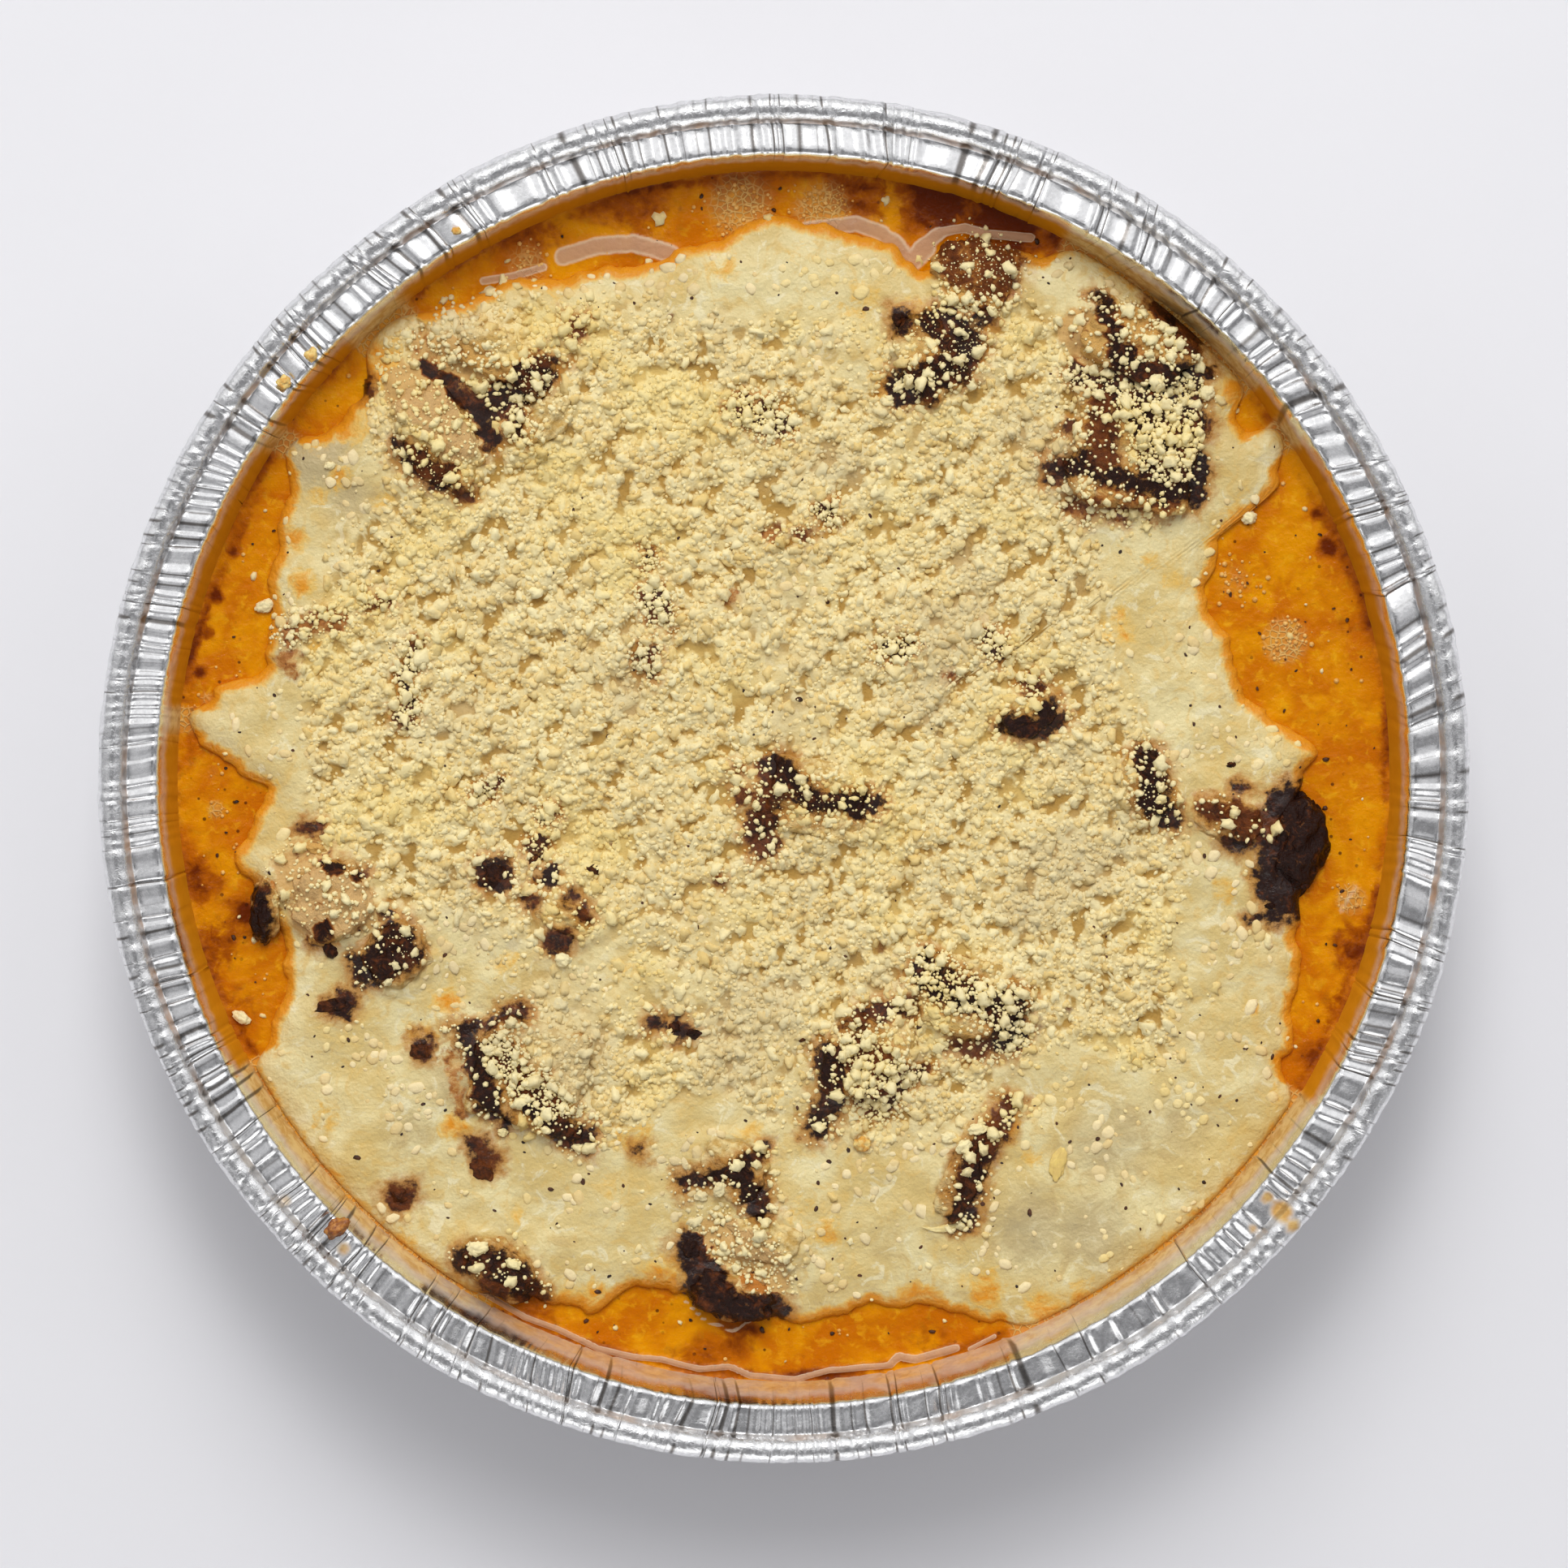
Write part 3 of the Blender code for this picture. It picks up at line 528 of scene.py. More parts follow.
def cream_finish():
    finish = Finish("cream", IOR=1.45, Specular_IOR_Level=0.45)
    cheese = finish.attribute("cheese")
    bleed = finish.attribute("bleed")
    grey = finish.attribute("grey")
    brown = finish.attribute("brown")
    pit = finish.attribute("pit")
    bare = finish.attribute("bare")
    toast = finish.attribute("toast")
    cloud = finish.noise(9.0, 4.0, 0.55, 0.7)
    vein = finish.noise(3.5, 4.0, 0.6, 1.2)
    curd = finish.noise(1.5, 3.0, 0.55)
    colour = finish.blend(finish.span(cloud, 0.35, 0.62), srgb(228, 212, 158), srgb(214, 188, 122))
    colour = finish.blend(0.6 * finish.span(vein, 0.50, 0.66), colour, srgb(218, 182, 104))
    colour = finish.blend(0.7 * finish.span(vein, 0.44, 0.34), colour, srgb(234, 223, 182))
    murky = finish.span(grey + 0.9 * (vein - 0.5), 0.25, 0.95)
    colour = finish.blend(0.85 * murky, colour, srgb(184, 166, 124))
    under = finish.blend(finish.span(curd, 0.36, 0.58), srgb(216, 192, 130), srgb(234, 217, 164))
    # Painted shade: the cream under the cheese is darker in the pits between the grains.
    pit_shade = finish.span(pit + 0.7 * (finish.noise(0.8, 3.0, 0.6) - 0.5), 0.25, 0.85)
    under = finish.blend(pit_shade, under, srgb(176, 138, 66))
    colour = finish.blend(cheese, colour, cheese_shade(finish, under))
    spread = finish.noise(2.2, 4.0, 0.65, 0.6)
    seep = bleed + 1.5 * (spread - 0.5)
    colour = finish.blend(0.8 * finish.span(seep, 0.28, 0.62), colour, srgb(228, 184, 88))
    colour = finish.blend(0.9 * finish.span(seep, 0.50, 0.95), colour, srgb(222, 140, 8))
    freckle = finish.span(brown + 1.1 * (finish.noise(1.5, 3.0, 0.65) - 0.5), 0.35, 0.85)
    colour = finish.blend(freckle, colour, srgb(112, 62, 20))
    finish.feed("Base Color", crust_colour(finish, bare, toast, colour, srgb(206, 166, 102)))
    finish.feed("Roughness", 0.20 + 0.30 * cheese + 0.2 * curd)
    finish.bump(curd + 0.5 * finish.noise(0.5, 2.0), 0.0005, 0.6)
    return finish.material


def crust_colour(finish, bare, toast, covered, pale):
    """From what covers it to pale, brown and nearly black crust, with a browned rim round each dark part."""
    crag = finish.noise(1.3, 4.0, 0.65, 0.5)
    ragged = bare + 0.55 * (finish.noise(1.0, 4.0, 0.7) - 0.5)
    level = toast + 1.1 * (crag - 0.5) + 0.5 * (finish.noise(4.0, 2.0) - 0.5)
    colour = finish.blend(finish.span(level, 0.18, 0.46), pale, srgb(168, 108, 48))
    colour = finish.blend(finish.span(level, 0.40, 0.66), colour, srgb(104, 52, 18))
    colour = finish.blend(finish.span(level, 0.64, 1.00), colour, srgb(36, 15, 8))
    halo = finish.span(ragged, 0.10, 0.50) * finish.span(toast, 0.35, 0.75)
    colour_round = finish.blend(0.85 * halo, covered, srgb(178, 118, 44))
    colour = finish.blend(0.6 * finish.span(crag, 0.60, 0.72), colour, srgb(120, 74, 34))
    return finish.blend(finish.span(ragged, 0.42, 0.60), colour_round, colour)


def chunk_finish(name, pale, roughness):
    finish = Finish(name, IOR=1.45, Specular_IOR_Level=0.22)
    curd = finish.noise(1.5, 3.0, 0.55)
    cheesy = finish.blend(finish.span(curd, 0.36, 0.60), srgb(198, 160, 88), srgb(230, 206, 146))
    cheesy = cheese_shade(finish, cheesy)
    bare, toast = finish.attribute("bare"), finish.attribute("toast")
    finish.feed("Base Color", crust_colour(finish, bare, toast, cheesy, pale))
    finish.feed("Roughness", roughness + 0.35 * curd)
    crag = finish.noise(1.3, 4.0, 0.65, 0.5)
    finish.bump(crag + 0.4 * finish.noise(0.45, 3.0, 0.6), 0.0007, 0.8)
    return finish.material


def grain_finish(name, light, deep, roughness):
    """Grated cheese, with its own shade on each grain from the tint attribute."""
    finish = Finish(name, IOR=1.45, Specular_IOR_Level=0.25)
    tint = finish.attribute("tint")
    mottle = finish.noise(0.7, 2.0)
    colour = finish.blend(finish.span(tint + 0.5 * (mottle - 0.5), 0.1, 0.95), light, deep)
    finish.feed("Base Color", cheese_shade(finish, colour))
    finish.feed("Roughness", roughness + 0.2 * mottle)
    finish.bump(finish.noise(0.4, 2.0), 0.0002, 0.5)
    return finish.material


def plain_finish(name, first, second, size, roughness, bump_size, bump_height):
    """Two shades clouded together, under a fine grain."""
    finish = Finish(name)
    cloud = finish.noise(size, 3.0, 0.55)
    finish.feed("Base Color", finish.blend(finish.span(cloud, 0.35, 0.65), first, second))
    finish.feed("Roughness", roughness + 0.15 * (cloud - 0.5))
    finish.bump(finish.noise(bump_size, 3.0), bump_height, 0.6)
    return finish.material


# Pieces


def add_piece(name, bm, finish, slot, *replaced):
    """A finished piece that rides on the tray, from a bmesh whose place is in its points."""
    bmesh.ops.recalc_face_normals(bm, faces=bm.faces)
    if bm.calc_volume(signed=True) < 0:
        bmesh.ops.reverse_faces(bm, faces=bm.faces)
    mesh = bpy.data.meshes.new(name)
    bm.to_mesh(mesh)
    bm.free()
    show_piece(name, mesh, finish, slot, *replaced)


def show_piece(name, mesh, finish, slot, *replaced):
    """Shows a mesh as a piece that rides on the tray, in place of the nodes named last."""
    mesh.materials.clear()
    mesh.materials.append(finish)
    mesh.shade_smooth()
    piece = bpy.data.objects.new(name, mesh)
    bpy.context.scene.collection.objects.link(piece)
    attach(piece, "root")
    if replaced:
        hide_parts(*replaced)


def lathe(outline, columns):
    """An outline in half section spun round the axis, closed at its poles, with its row in a layer."""
    bm = bmesh.new()
    row = bm.verts.layers.float.new("row")
    made = []
    for index, point in enumerate(outline):
        vert = bm.verts.new((point[0], 0, point[1]))
        vert[row] = index
        made.append(vert)
    edges = [bm.edges.new(pair) for pair in zip(made, made[1:])]
    turn = dict(axis=(0, 0, 1), angle=math.tau, steps=SPIN_STEPS, use_merge=True)
    bmesh.ops.spin(bm, geom=made + edges, **turn)
    rings = [e for e in bm.edges if abs(e.verts[0][row] - e.verts[1][row]) < 0.5]
    bmesh.ops.subdivide_edges(bm, edges=rings, cuts=columns // SPIN_STEPS - 1, use_grid_fill=True)
    poles = [v for v in bm.verts if v.co.xy.length < 0.01 * MM]
    bmesh.ops.remove_doubles(bm, verts=poles, dist=0.01 * MM)
    return bm, row


# Foil tray

WALL_FOOT = 2
WALL_TOP = 9


def inward(heading):
    """Unit vector from the foil's middle line towards the food, in half section."""
    return Vector((-math.sin(heading), math.cos(heading)))


def foil_walk(floor_run, wall_run, flange_run):
    """Middle line of the foil in half section: place, heading and share of the fold depth."""
    wall_turn = 90 - WALL_LEAN
    moves = (
        ("turn", FLOOR_FILLET, wall_turn, 2, 0.0),
        ("run", wall_run, 0, 7, 0.50),
        ("turn", CORNER_RADIUS, -(wall_turn + FLANGE_DROP), 3, 0.95),
        ("run", flange_run, 0, 5, 0.95),
        ("turn", GROOVE_RADIUS, GROOVE_TURN + FLANGE_DROP, 2, 0.6),
        ("turn", BEAD_RADIUS, -BEAD_TURN, 11, 0.12),
    )
    place = Vector((floor_run, FOIL / 2))
    heading = 0.0
    points = [(place.copy(), heading, 0.0)]
    before = 0.0
    for kind, size, degrees, steps, after in moves:
        for step in range(steps):
            turned = math.radians(degrees / steps)
            length = size / steps if kind == "run" else 2 * size * math.sin(abs(turned) / 2)
            along = heading + turned / 2
            place += length * Vector((math.cos(along), math.sin(along)))
            heading += turned
            points.append((place.copy(), heading, before + (after - before) * (step + 1) / steps))
        before = after
    return points


def foil_line():
    """The middle line whose curl ends at RIM_RADIUS, whose top is at TRAY_HEIGHT and corner at CORNER_AT."""
    lean = math.radians(WALL_LEAN)
    drop = math.radians(FLANGE_DROP)
    past_corner = max(p.x for p, _, _ in foil_walk(0, 0, 0)) - foil_walk(0, 0, 0)[WALL_TOP][0].x
    flange_run = (RIM_RADIUS - FOIL / 2 - CORNER_AT - past_corner) / math.cos(drop)
    trial = foil_walk(0, 0, flange_run)
    wall_run = (TRAY_HEIGHT - FOIL / 2 - max(p.y for p, _, _ in trial)) / math.cos(lean)
    reach = max(p.x for p, _, _ in foil_walk(0, wall_run, flange_run))
    return foil_walk(RIM_RADIUS - FOIL / 2 - reach, wall_run, flange_run)


FOIL_LINE = foil_line()


def fold_columns():
    """Angle, depth, crease, slant and dark line of painted crease shade of each column, for folds that are
    tight in bunches.
    """
    dice = random.Random(21)
    each = 3
    folds = COLUMNS // each
    widths = []
    while len(widths) < folds:
        around = 360 * len(widths) / folds
        broad = 1.30 if around < 100 or around > 285 else 0.9
        if dice.random() < 0.24:
            widths.append(broad * dice.uniform(1.7, 3.0))
        else:
            widths.append(broad * dice.uniform(0.45, 1.15))
    total = sum(widths)
    columns = []
    angle, depth, way, bunched = 0.0, 0.0, 1, False
    for width in widths:
        step = width / total * math.tau
        steep = dice.uniform(0.10, 0.30) if width > 1.6 else dice.uniform(0.30, 0.75)
        target = max(-0.5, min(0.5, 0.35 * depth + way * steep * width * 0.55))
        crease = 1.0 if dice.random() < (0.30 if bunched else 0.08) else dice.uniform(0.0, 0.3)
        bunched = dice.random() < 0.75 if bunched else dice.random() < 0.10
        slant = dice.uniform(-1, 1)
        crease_shade = 1.0 if crease > 0.9 else dice.random() ** 1.5
        for part in range(each):
            share = part / each
            pinch = SHARP_PINCH * crease if part == 1 and crease > 0.9 else 0.0
            deep = depth + (target - depth) * share - pinch
            columns.append((angle + step * share, deep, crease, slant, crease_shade * (part == 1)))
        angle, depth, way = angle + step, target, -way
    return columns


def wall_radius(height):
    """Radius of the foil's inner skin on its wall at a height."""
    low, high = FOIL_LINE[WALL_FOOT][0], FOIL_LINE[WALL_TOP][0]
    return low.x + (high.x - low.x) * (height - low.y) / (high.y - low.y) - FOIL / 2


GROOVE_AT = 88.5 * MM
BEAD_FROM = 88.5 * MM
WALL_BELOW = 1.6 * MM
CREASE_REACH = 9 * MM
FLANGE_STAINS = (
    (66.1, -56.4, 2.6, 0.9), (67.6, -58.2, 2.0, 0.8), (64.2, -54.6, 1.8, 0.8), (62.4, -58.8, 1.5, 0.6),
    (-66.2, -55.0, 2.0, 0.5), (-43.0, 73.6, 1.6, 0.5), (80.0, 26.0, 2.4, 0.3), (-58.6, -61.5, 2.0, 0.7),
)


def build_foil(finish):
    inner = [(place + FOIL / 2 * inward(heading), heading, fold) for place, heading, fold in FOIL_LINE]
    outer = [(place - FOIL / 2 * inward(heading), heading, fold) for place, heading, fold in FOIL_LINE]
    rows = [(Vector((0, FOIL)), 0.0, 0.0)] + inner + outer[::-1] + [(Vector((0, 0)), 0.0, 0.0)]
    middles = [place for place, _, _ in FOIL_LINE]
    middles = [middles[0]] + middles + middles[::-1] + [middles[0]]
    bm, row = lathe([place for place, _, _ in rows], COLUMNS)
    film_and_sheen = bm.verts.layers.float.new("film_and_sheen")
    rolled = bm.verts.layers.float.new("rolled")
    crease_shade_layer = bm.verts.layers.float.new("crease")
    oily_and_reflected = bm.verts.layers.float.new("oily_and_reflected")
    stains = spot_marks(FLANGE_STAINS)
    columns = fold_columns()
    for vert in bm.verts:
        place, heading, fold = rows[round(vert[row])]
        middle = middles[round(vert[row])]
        if place.x < 1 * MM:
            continue
        spun = math.atan2(vert.co.y, vert.co.x) / math.tau * COLUMNS
        angle, depth, crease, slant, crease_shade = columns[round(spun) % COLUMNS]
        around = Vector((math.cos(angle), math.sin(angle), 0))
        on_wall = middle.x < CORNER_AT and middle.y < TRAY_HEIGHT - WALL_BELOW
        below = max(0.0, TRAY_HEIGHT - middle.y) if on_wall else 0.0
        strength = fold * (0.12 + 0.9 * crease if on_wall else 0.75 + 0.35 * crease)
        bent = around * 20 + Vector((0, 0, middle.x / MM * 0.2))
        lean = 0.55 * noise.noise(around * 2.8 + Vector((3.0, 0, 0)))
        skew = 0.30 * MM * noise.noise(bent) * min(1.0, fold * 3) + (0.4 * lean + 0.02 * slant) * below
        skew += max(0.0, middle.x - CORNER_AT) * (lean + 0.03 * slant)
        lift = 0.9 + 0.3 * noise.noise(around * 14 + Vector((0, 0, middle.x / MM * 0.4)))
        crinkle = noise.noise(around * 95 + Vector((0, 0, middle.x / MM * 0.9 + middle.y / MM * 0.4)))
        on_bead = middle.x > BEAD_FROM
        if on_bead:
            along = Vector((0, 0, (1.7 * middle.x + 1.2 * middle.y) / MM))
            crinkle = 0.5 * crinkle + noise.noise(around * 34 + along)
        dent = (0.12 if on_bead else 0.035) * MM * crinkle * min(1.0, fold * 5)
        push = FOLD_DEPTH * strength * depth * lift + dent
        rise = min(1.0, place.y / (20 * MM))
        wobble = 0.25 * MM * (noise.noise(around * 2.2 + Vector((0, 0, 4.0))) - 1) * rise
        away = inward(heading)
        angle += skew / place.x
        radius = place.x + away.x * push + wobble
        vert.co = (radius * math.cos(angle), radius * math.sin(angle), max(0.0, place.y + away.y * push))
        # The wall's film is partly real film and partly painted reflection of the food beside it, and it is
        # thinner towards -Y.
        thick = 0.8 - 0.25 * ease(-math.sin(angle), 0.5, 0.95)
        inside = round(vert[row]) <= len(inner)
        film_and_reflection_band = ease(CORNER_AT - place.x, -0.2 * MM, 0.8 * MM) * ease(place.y, 26 * MM, 30 * MM)
        vert[film_and_sheen] = inside * thick * film_and_reflection_band
        in_groove = abs(place.x - GROOVE_AT) < 0.45 * MM and place.y > TRAY_HEIGHT - 3 * MM
        vert[film_and_sheen] = max(vert[film_and_sheen], 0.30 * in_groove, stains.value(vert.co.x, vert.co.y))
        vert[rolled] = on_bead
        # Brown beside the sauce and creamy beside the cream: a real film that is partly painted reflection of
        # the food beside the wall.
        by_sauce = 1 - ease(cream_edge(angle), 78.6 * MM, 80.8 * MM)
        vert[oily_and_reflected] = by_sauce * (1 - 0.6 * ease(-math.sin(angle), 0.7, 0.95))
        # Painted shade: dark lines in the creases, in the groove and round the bead's outer edge.
        bead_crease_shade = 0.9 if place.x > RIM_RADIUS - 1.3 * MM else 0.45
        elsewhere = 1.0 if fold > 0.7 else max(crease, 0.62) * (below < CREASE_REACH)
        vert[crease_shade_layer] = crease_shade * (bead_crease_shade if on_bead else elsewhere)
        vert[crease_shade_layer] = max(vert[crease_shade_layer], 0.52 * in_groove)
    tree = BVHTree.FromBMesh(bm)
    add_piece("foil", bm, finish, "foil", "foil_tray")
    return tree


# Sauce

# Darker patches of sauce, partly its own colour and partly painted shade by the wall.
DARK_AND_SHADED_SPOTS = (
    (-75.8, 25, 2.2, 1.0), (-76.8, 20, 2.0, 1.0), (-78, 15, 1.8, 1.0), (-73.5, 31, 2.0, 0.8),
    (-72.2, -17.5, 3.0, 1.0),
    (-80.5, 9, 4, 0.5), (-79, -13, 7, 0.8), (-77, -22, 7, 0.8), (-73, -30, 6, 0.5),
    (-73, -18, 6, 0.6), (-33, 74, 10, 0.55), (-20, 78, 12, 0.6), (-6, 79, 9, 0.5), (10, 78.5, 9, 0.8),
    (20, 79, 10, 1.1), (30, 76, 10, 1.1), (38, 72, 7, 0.9), (80, 24, 6, 0.8), (75, 21, 2.5, 0.5),
    (72.5, 31.5, 2.6, 1.1), (71.0, 36.0, 2.0, 0.8), (77, -22, 7, 0.9), (76, -30, 7, 0.7),
    (71, -37, 5, 0.6),
    (-40, -70, 6, 0.7), (-33, -73, 6, 0.6), (-12, -78, 8, 0.5), (-6, -74, 6, 0.8), (20, -76, 6, 0.6),
    (-58, 56, 7, 0.35), (-50, 63, 6, 0.35), (60, 53, 5, 0.5),
)
FOAM_SPOTS = (
    (-77.2, 11.4, 1.9, 0.5), (-76.4, 1.4, 2.6, 0.25), (-6, 77, 7, 0.8), (5, 76.5, 6, 0.9),
    (66.8, 19, 4.6, 1.0),
    (60, 27, 5, 0.35), (76, -15.5, 3.4, 0.9), (-76, -3.5, 2.2, 0.7), (-73, -44, 3, 0.5), (-79, -22, 2, 0.5),
    (-50, 52, 5, 0.4), (-34, 69, 5, 0.5), (-71, -10.5, 4, 0.5), (2, -69, 4, 0.3),
)
# Pale bands on the sauce along the meniscus: painted highlight, laid on as a pale film.
FILMS_AND_SHINE = (
    (((3.0, 73.8), (9.6, 74.6), (13.1, 73.3), (14.8, 71.4)), 1.5, 1.0),
    (((14.4, 72.0), (16.6, 69.2), (18.8, 71.4)), 2.0, 1.0), (((18.0, 71.4), (20.5, 73.2)), 1.3, 1.0),
    (((20.5, 73.4), (24.0, 74.0), (27.0, 73.2), (32.8, 72.7)), 0.8, 1.2),
    (((-29.4, 70.2), (-25, 71.6), (-20, 72.0), (-15, 70.6)), 1.7, 1.0),
    (((-40, 67.0), (-36, 67.6), (-32, 68.8)), 0.8, 0.9),
    (((-42.3, -67.4), (-38.7, -69.6), (-34.8, -71.9), (-30.4, -73.5), (-24.8, -76.2),
      (-20.1, -77.3), (-16.5, -77.6), (-11.4, -78.9), (-7.2, -78.6), (-4.6, -79.8),
      (1.5, -80.3), (5.9, -79.1), (14.4, -78.4)), 0.5, 1.3),
    (((14.4, -78.2), (15.4, -77.2), (17.7, -77.6), (23.1, -76.1)), 0.7, 1.2),
    (((25.0, -76.2), (28.3, -74.5)), 0.4, 1.0),
    (((-13.4, -69.6), (-10.6, -72.4), (-6.8, -73.8), (-3.4, -71.6), (-0.4, -71.0)), 0.32, 0.8),
    (((8.0, -66.6), (12.0, -69.0), (17.0, -69.2), (22.0, -68.2), (26.0, -66.6)), 0.3, 0.7),
    (((76.5, -14.0), (74.6, -17.0)), 1.0, 0.5),
)


def sauce_height(x, y):
    return SAUCE_LEVEL + SAUCE_RIPPLE * (grain_noise(x, y, 9.0) - 0.6) + 0.05 * MM * grain_noise(x, y, 3.0)


def listed_edge(angle):
    """Radius of the cream's edge, with the uneven line that it melts to."""
    radius = ring_value(CREAM_EDGE, angle)
    at_wall = ease(radius, 78.2, 80.2)
    x, y = radius * math.cos(angle) * MM, radius * math.sin(angle) * MM
    uneven = 1.3 * grain_noise(x, y, 5.5, 7.0) + 0.7 * grain_noise(x, y, 2.2, 9.0)
    uneven += 0.3 * grain_noise(x, y, 0.9, 10.0)
    return (radius + WALL_CLOSE * at_wall + (1 - at_wall) * uneven) * MM


EDGE_RADII = [listed_edge(math.tau * i / EDGE_PLACES) for i in range(EDGE_PLACES)]
EDGE_TREE = KDTree(EDGE_PLACES)
for place, edge in enumerate(EDGE_RADII):
    way = math.tau * place / EDGE_PLACES
    EDGE_TREE.insert((edge * math.cos(way), edge * math.sin(way), 0), place)
EDGE_TREE.balance()


def cream_edge(angle):
    """Radius of the cream's edge, from the places worked out once."""
    at = (angle / math.tau % 1.0) * EDGE_PLACES
    low = int(at) % EDGE_PLACES
    return EDGE_RADII[low] + (EDGE_RADII[(low + 1) % EDGE_PLACES] - EDGE_RADII[low]) * (at - int(at))


def inside_cream(x, y):
    """Distance in from the cream's edge, or less than 0 past it."""
    away = EDGE_TREE.find((x, y, 0))[2]
    return away if math.hypot(x, y) < cream_edge(math.atan2(y, x)) else -away


def ledge_radius(angle):
    """Radius of the ledge of sauce under the cream's edge."""
    return min(ring_value(CREAM_EDGE, angle) * MM, SAUCE_LEDGE)


def build_sauce(finish):
    """The filling, with the ledge that shows round the cream and the recess that the cream sits in."""
    floor = FOIL + 0.3 * MM
    rings = 34
    top = SAUCE_LEVEL + MENISCUS
    body = [(0, floor), (66.0 * MM, floor), (wall_radius(4 * MM) - 0.9 * MM, 4 * MM), (wall_radius(top), top)]
    first_ring = len(body)
    body += [(wall_radius(top) - 0.1 * MM - 22 * MM * i / rings, SAUCE_LEVEL) for i in range(rings)]
    sunk_row = len(body)
    body += [(59.0 * MM, SAUCE_LEVEL - CREAM_SUNK), (0, SAUCE_LEVEL - CREAM_SUNK)]
    bm, row = lathe(body, 1080)
    dark_and_shade = bm.verts.layers.float.new("dark_and_shade")
    foam = bm.verts.layers.float.new("foam")
    film_and_sheen = bm.verts.layers.float.new("film_and_sheen")
    dark_and_shade_marks, foam_marks, film_and_shine_marks = spot_marks(DARK_AND_SHADED_SPOTS), spot_marks(FOAM_SPOTS), Marks(FILMS_AND_SHINE)
    for vert in bm.verts:
        index = round(vert[row])
        if first_ring - 1 <= index <= sunk_row and vert.co.xy.length > 1 * MM:
            angle = math.atan2(vert.co.y, vert.co.x)
            root = ledge_radius(angle) - 2.4 * MM
            share = max(0, min(rings - 1, index - first_ring + 1)) / (rings - 1)
            wall = wall_radius(top) + 0.04 * MM
            radius = wall - (wall - root) * share ** 1.6
            x, y = radius * math.cos(angle), radius * math.sin(angle)
            climb = 0.75 + 0.5 * noise.noise(Vector((math.cos(angle) * 9, math.sin(angle) * 9, 1.0)))
            curl = math.exp(-(wall - radius) / MENISCUS_REACH)
            shine = film_and_shine_marks.value(x, y, 1)
            height = sauce_height(x, y) + MENISCUS * climb * curl + 0.3 * MM * shine
            vert.co = (x, y, SAUCE_LEVEL - CREAM_SUNK if index == sunk_row else height)
            # Painted shade: the sauce darkens towards the wall.
            wall_shade = ease(radius, wall - 4.0 * MM, wall - 0.6 * MM)
            swept = Vector((math.cos(angle) * 7, math.sin(angle) * 7, radius / MM * 0.55))
            streak = 0.5 + 0.5 * noise.noise(swept)
            by_cream = ease(cream_edge(angle), 79.0 * MM, 80.6 * MM)
            dark_and_wall_shade = max(dark_and_shade_marks.value(x, y), 0.7 * wall_shade * (0.2 + streak)) * (0.65 + 0.6 * streak)
            vert[dark_and_shade] = dark_and_wall_shade * (1 - 0.8 * by_cream)
            vert[foam] = max(foam_marks.value(x, y), 0.8 * by_cream)
            vert[film_and_sheen] = shine
    add_piece("sauce_body", bm, finish, "sauce", "sauce")


# Cream

BLEED_SPOTS = (
    (44.8, 21, 5, 0.6), (52, 38, 4, 0.7), (49, 30, 3, 0.5), (61, 36, 6, 0.5), (53, 27, 5, 0.5),
    (68, 40, 6, 0.8),
    (59, -14, 4, 0.7), (64, -12, 3, 0.6), (63, -30, 2, 0.7), (66, -42, 4, 0.5), (35, -71, 5, 0.8),
    (40, -69, 4, 0.7),
    (62, -55, 4, 0.6), (-58, -58, 5, 0.7), (-51, -62, 5, 0.6), (-66, -50, 4, 0.6), (-70, -41, 4, 0.7),
    (-61, -45, 4, 0.6), (-20, -47, 6, 0.6), (-23, -54, 4, 0.4), (-16, -68, 8, 0.9), (-27, -70, 7, 0.8),
    (-20, -26, 7, 0.35), (-37, -24, 4, 0.5), (-45, -29, 4, 0.8), (-48, -33, 5, 0.6), (-44, -46, 4, 0.8),
    (-36, -58, 3, 0.5), (-62, 39, 4, 0.5), (-60, 50, 9, 0.95), (-54, 56, 7, 0.8), (-48, 44, 5, 0.5),
    (-59, 41, 3, 0.9), (-53, 38, 4, 0.5), (-64, 27, 4, 0.8), (-66, 33, 4, 0.8), (-62, 18, 3, 0.5),
    (-43, 64, 4, 0.5), (-30, 66, 5, 0.4), (10, 64, 5, 0.6), (16, 62, 5, 0.7), (13, 53, 4, 0.7),
    (-8, 69, 5, 0.5), (3, 71, 5, 0.4), (4, -5, 5, 0.4), (-4, -1, 4, 0.3), (6, -37, 4, 0.8),
    (6, -43, 3, 0.6),
    (30, -46, 4, 0.7), (33, -50, 3, 0.5), (2, -57, 5, 0.5), (6, -60, 4, 0.7), (0, -42, 5, 0.4),
    (-5, -47, 4, 0.5),
    (60, 52, 5, 0.8), (64.0, 50.0, 3.6, 1.5), (45, -48, 3, 0.4), (-9, 12, 3, 0.5), (-26, 2, 3, 0.3),
    (18, -70, 6, 0.9), (27, -68, 5, 0.8),
)
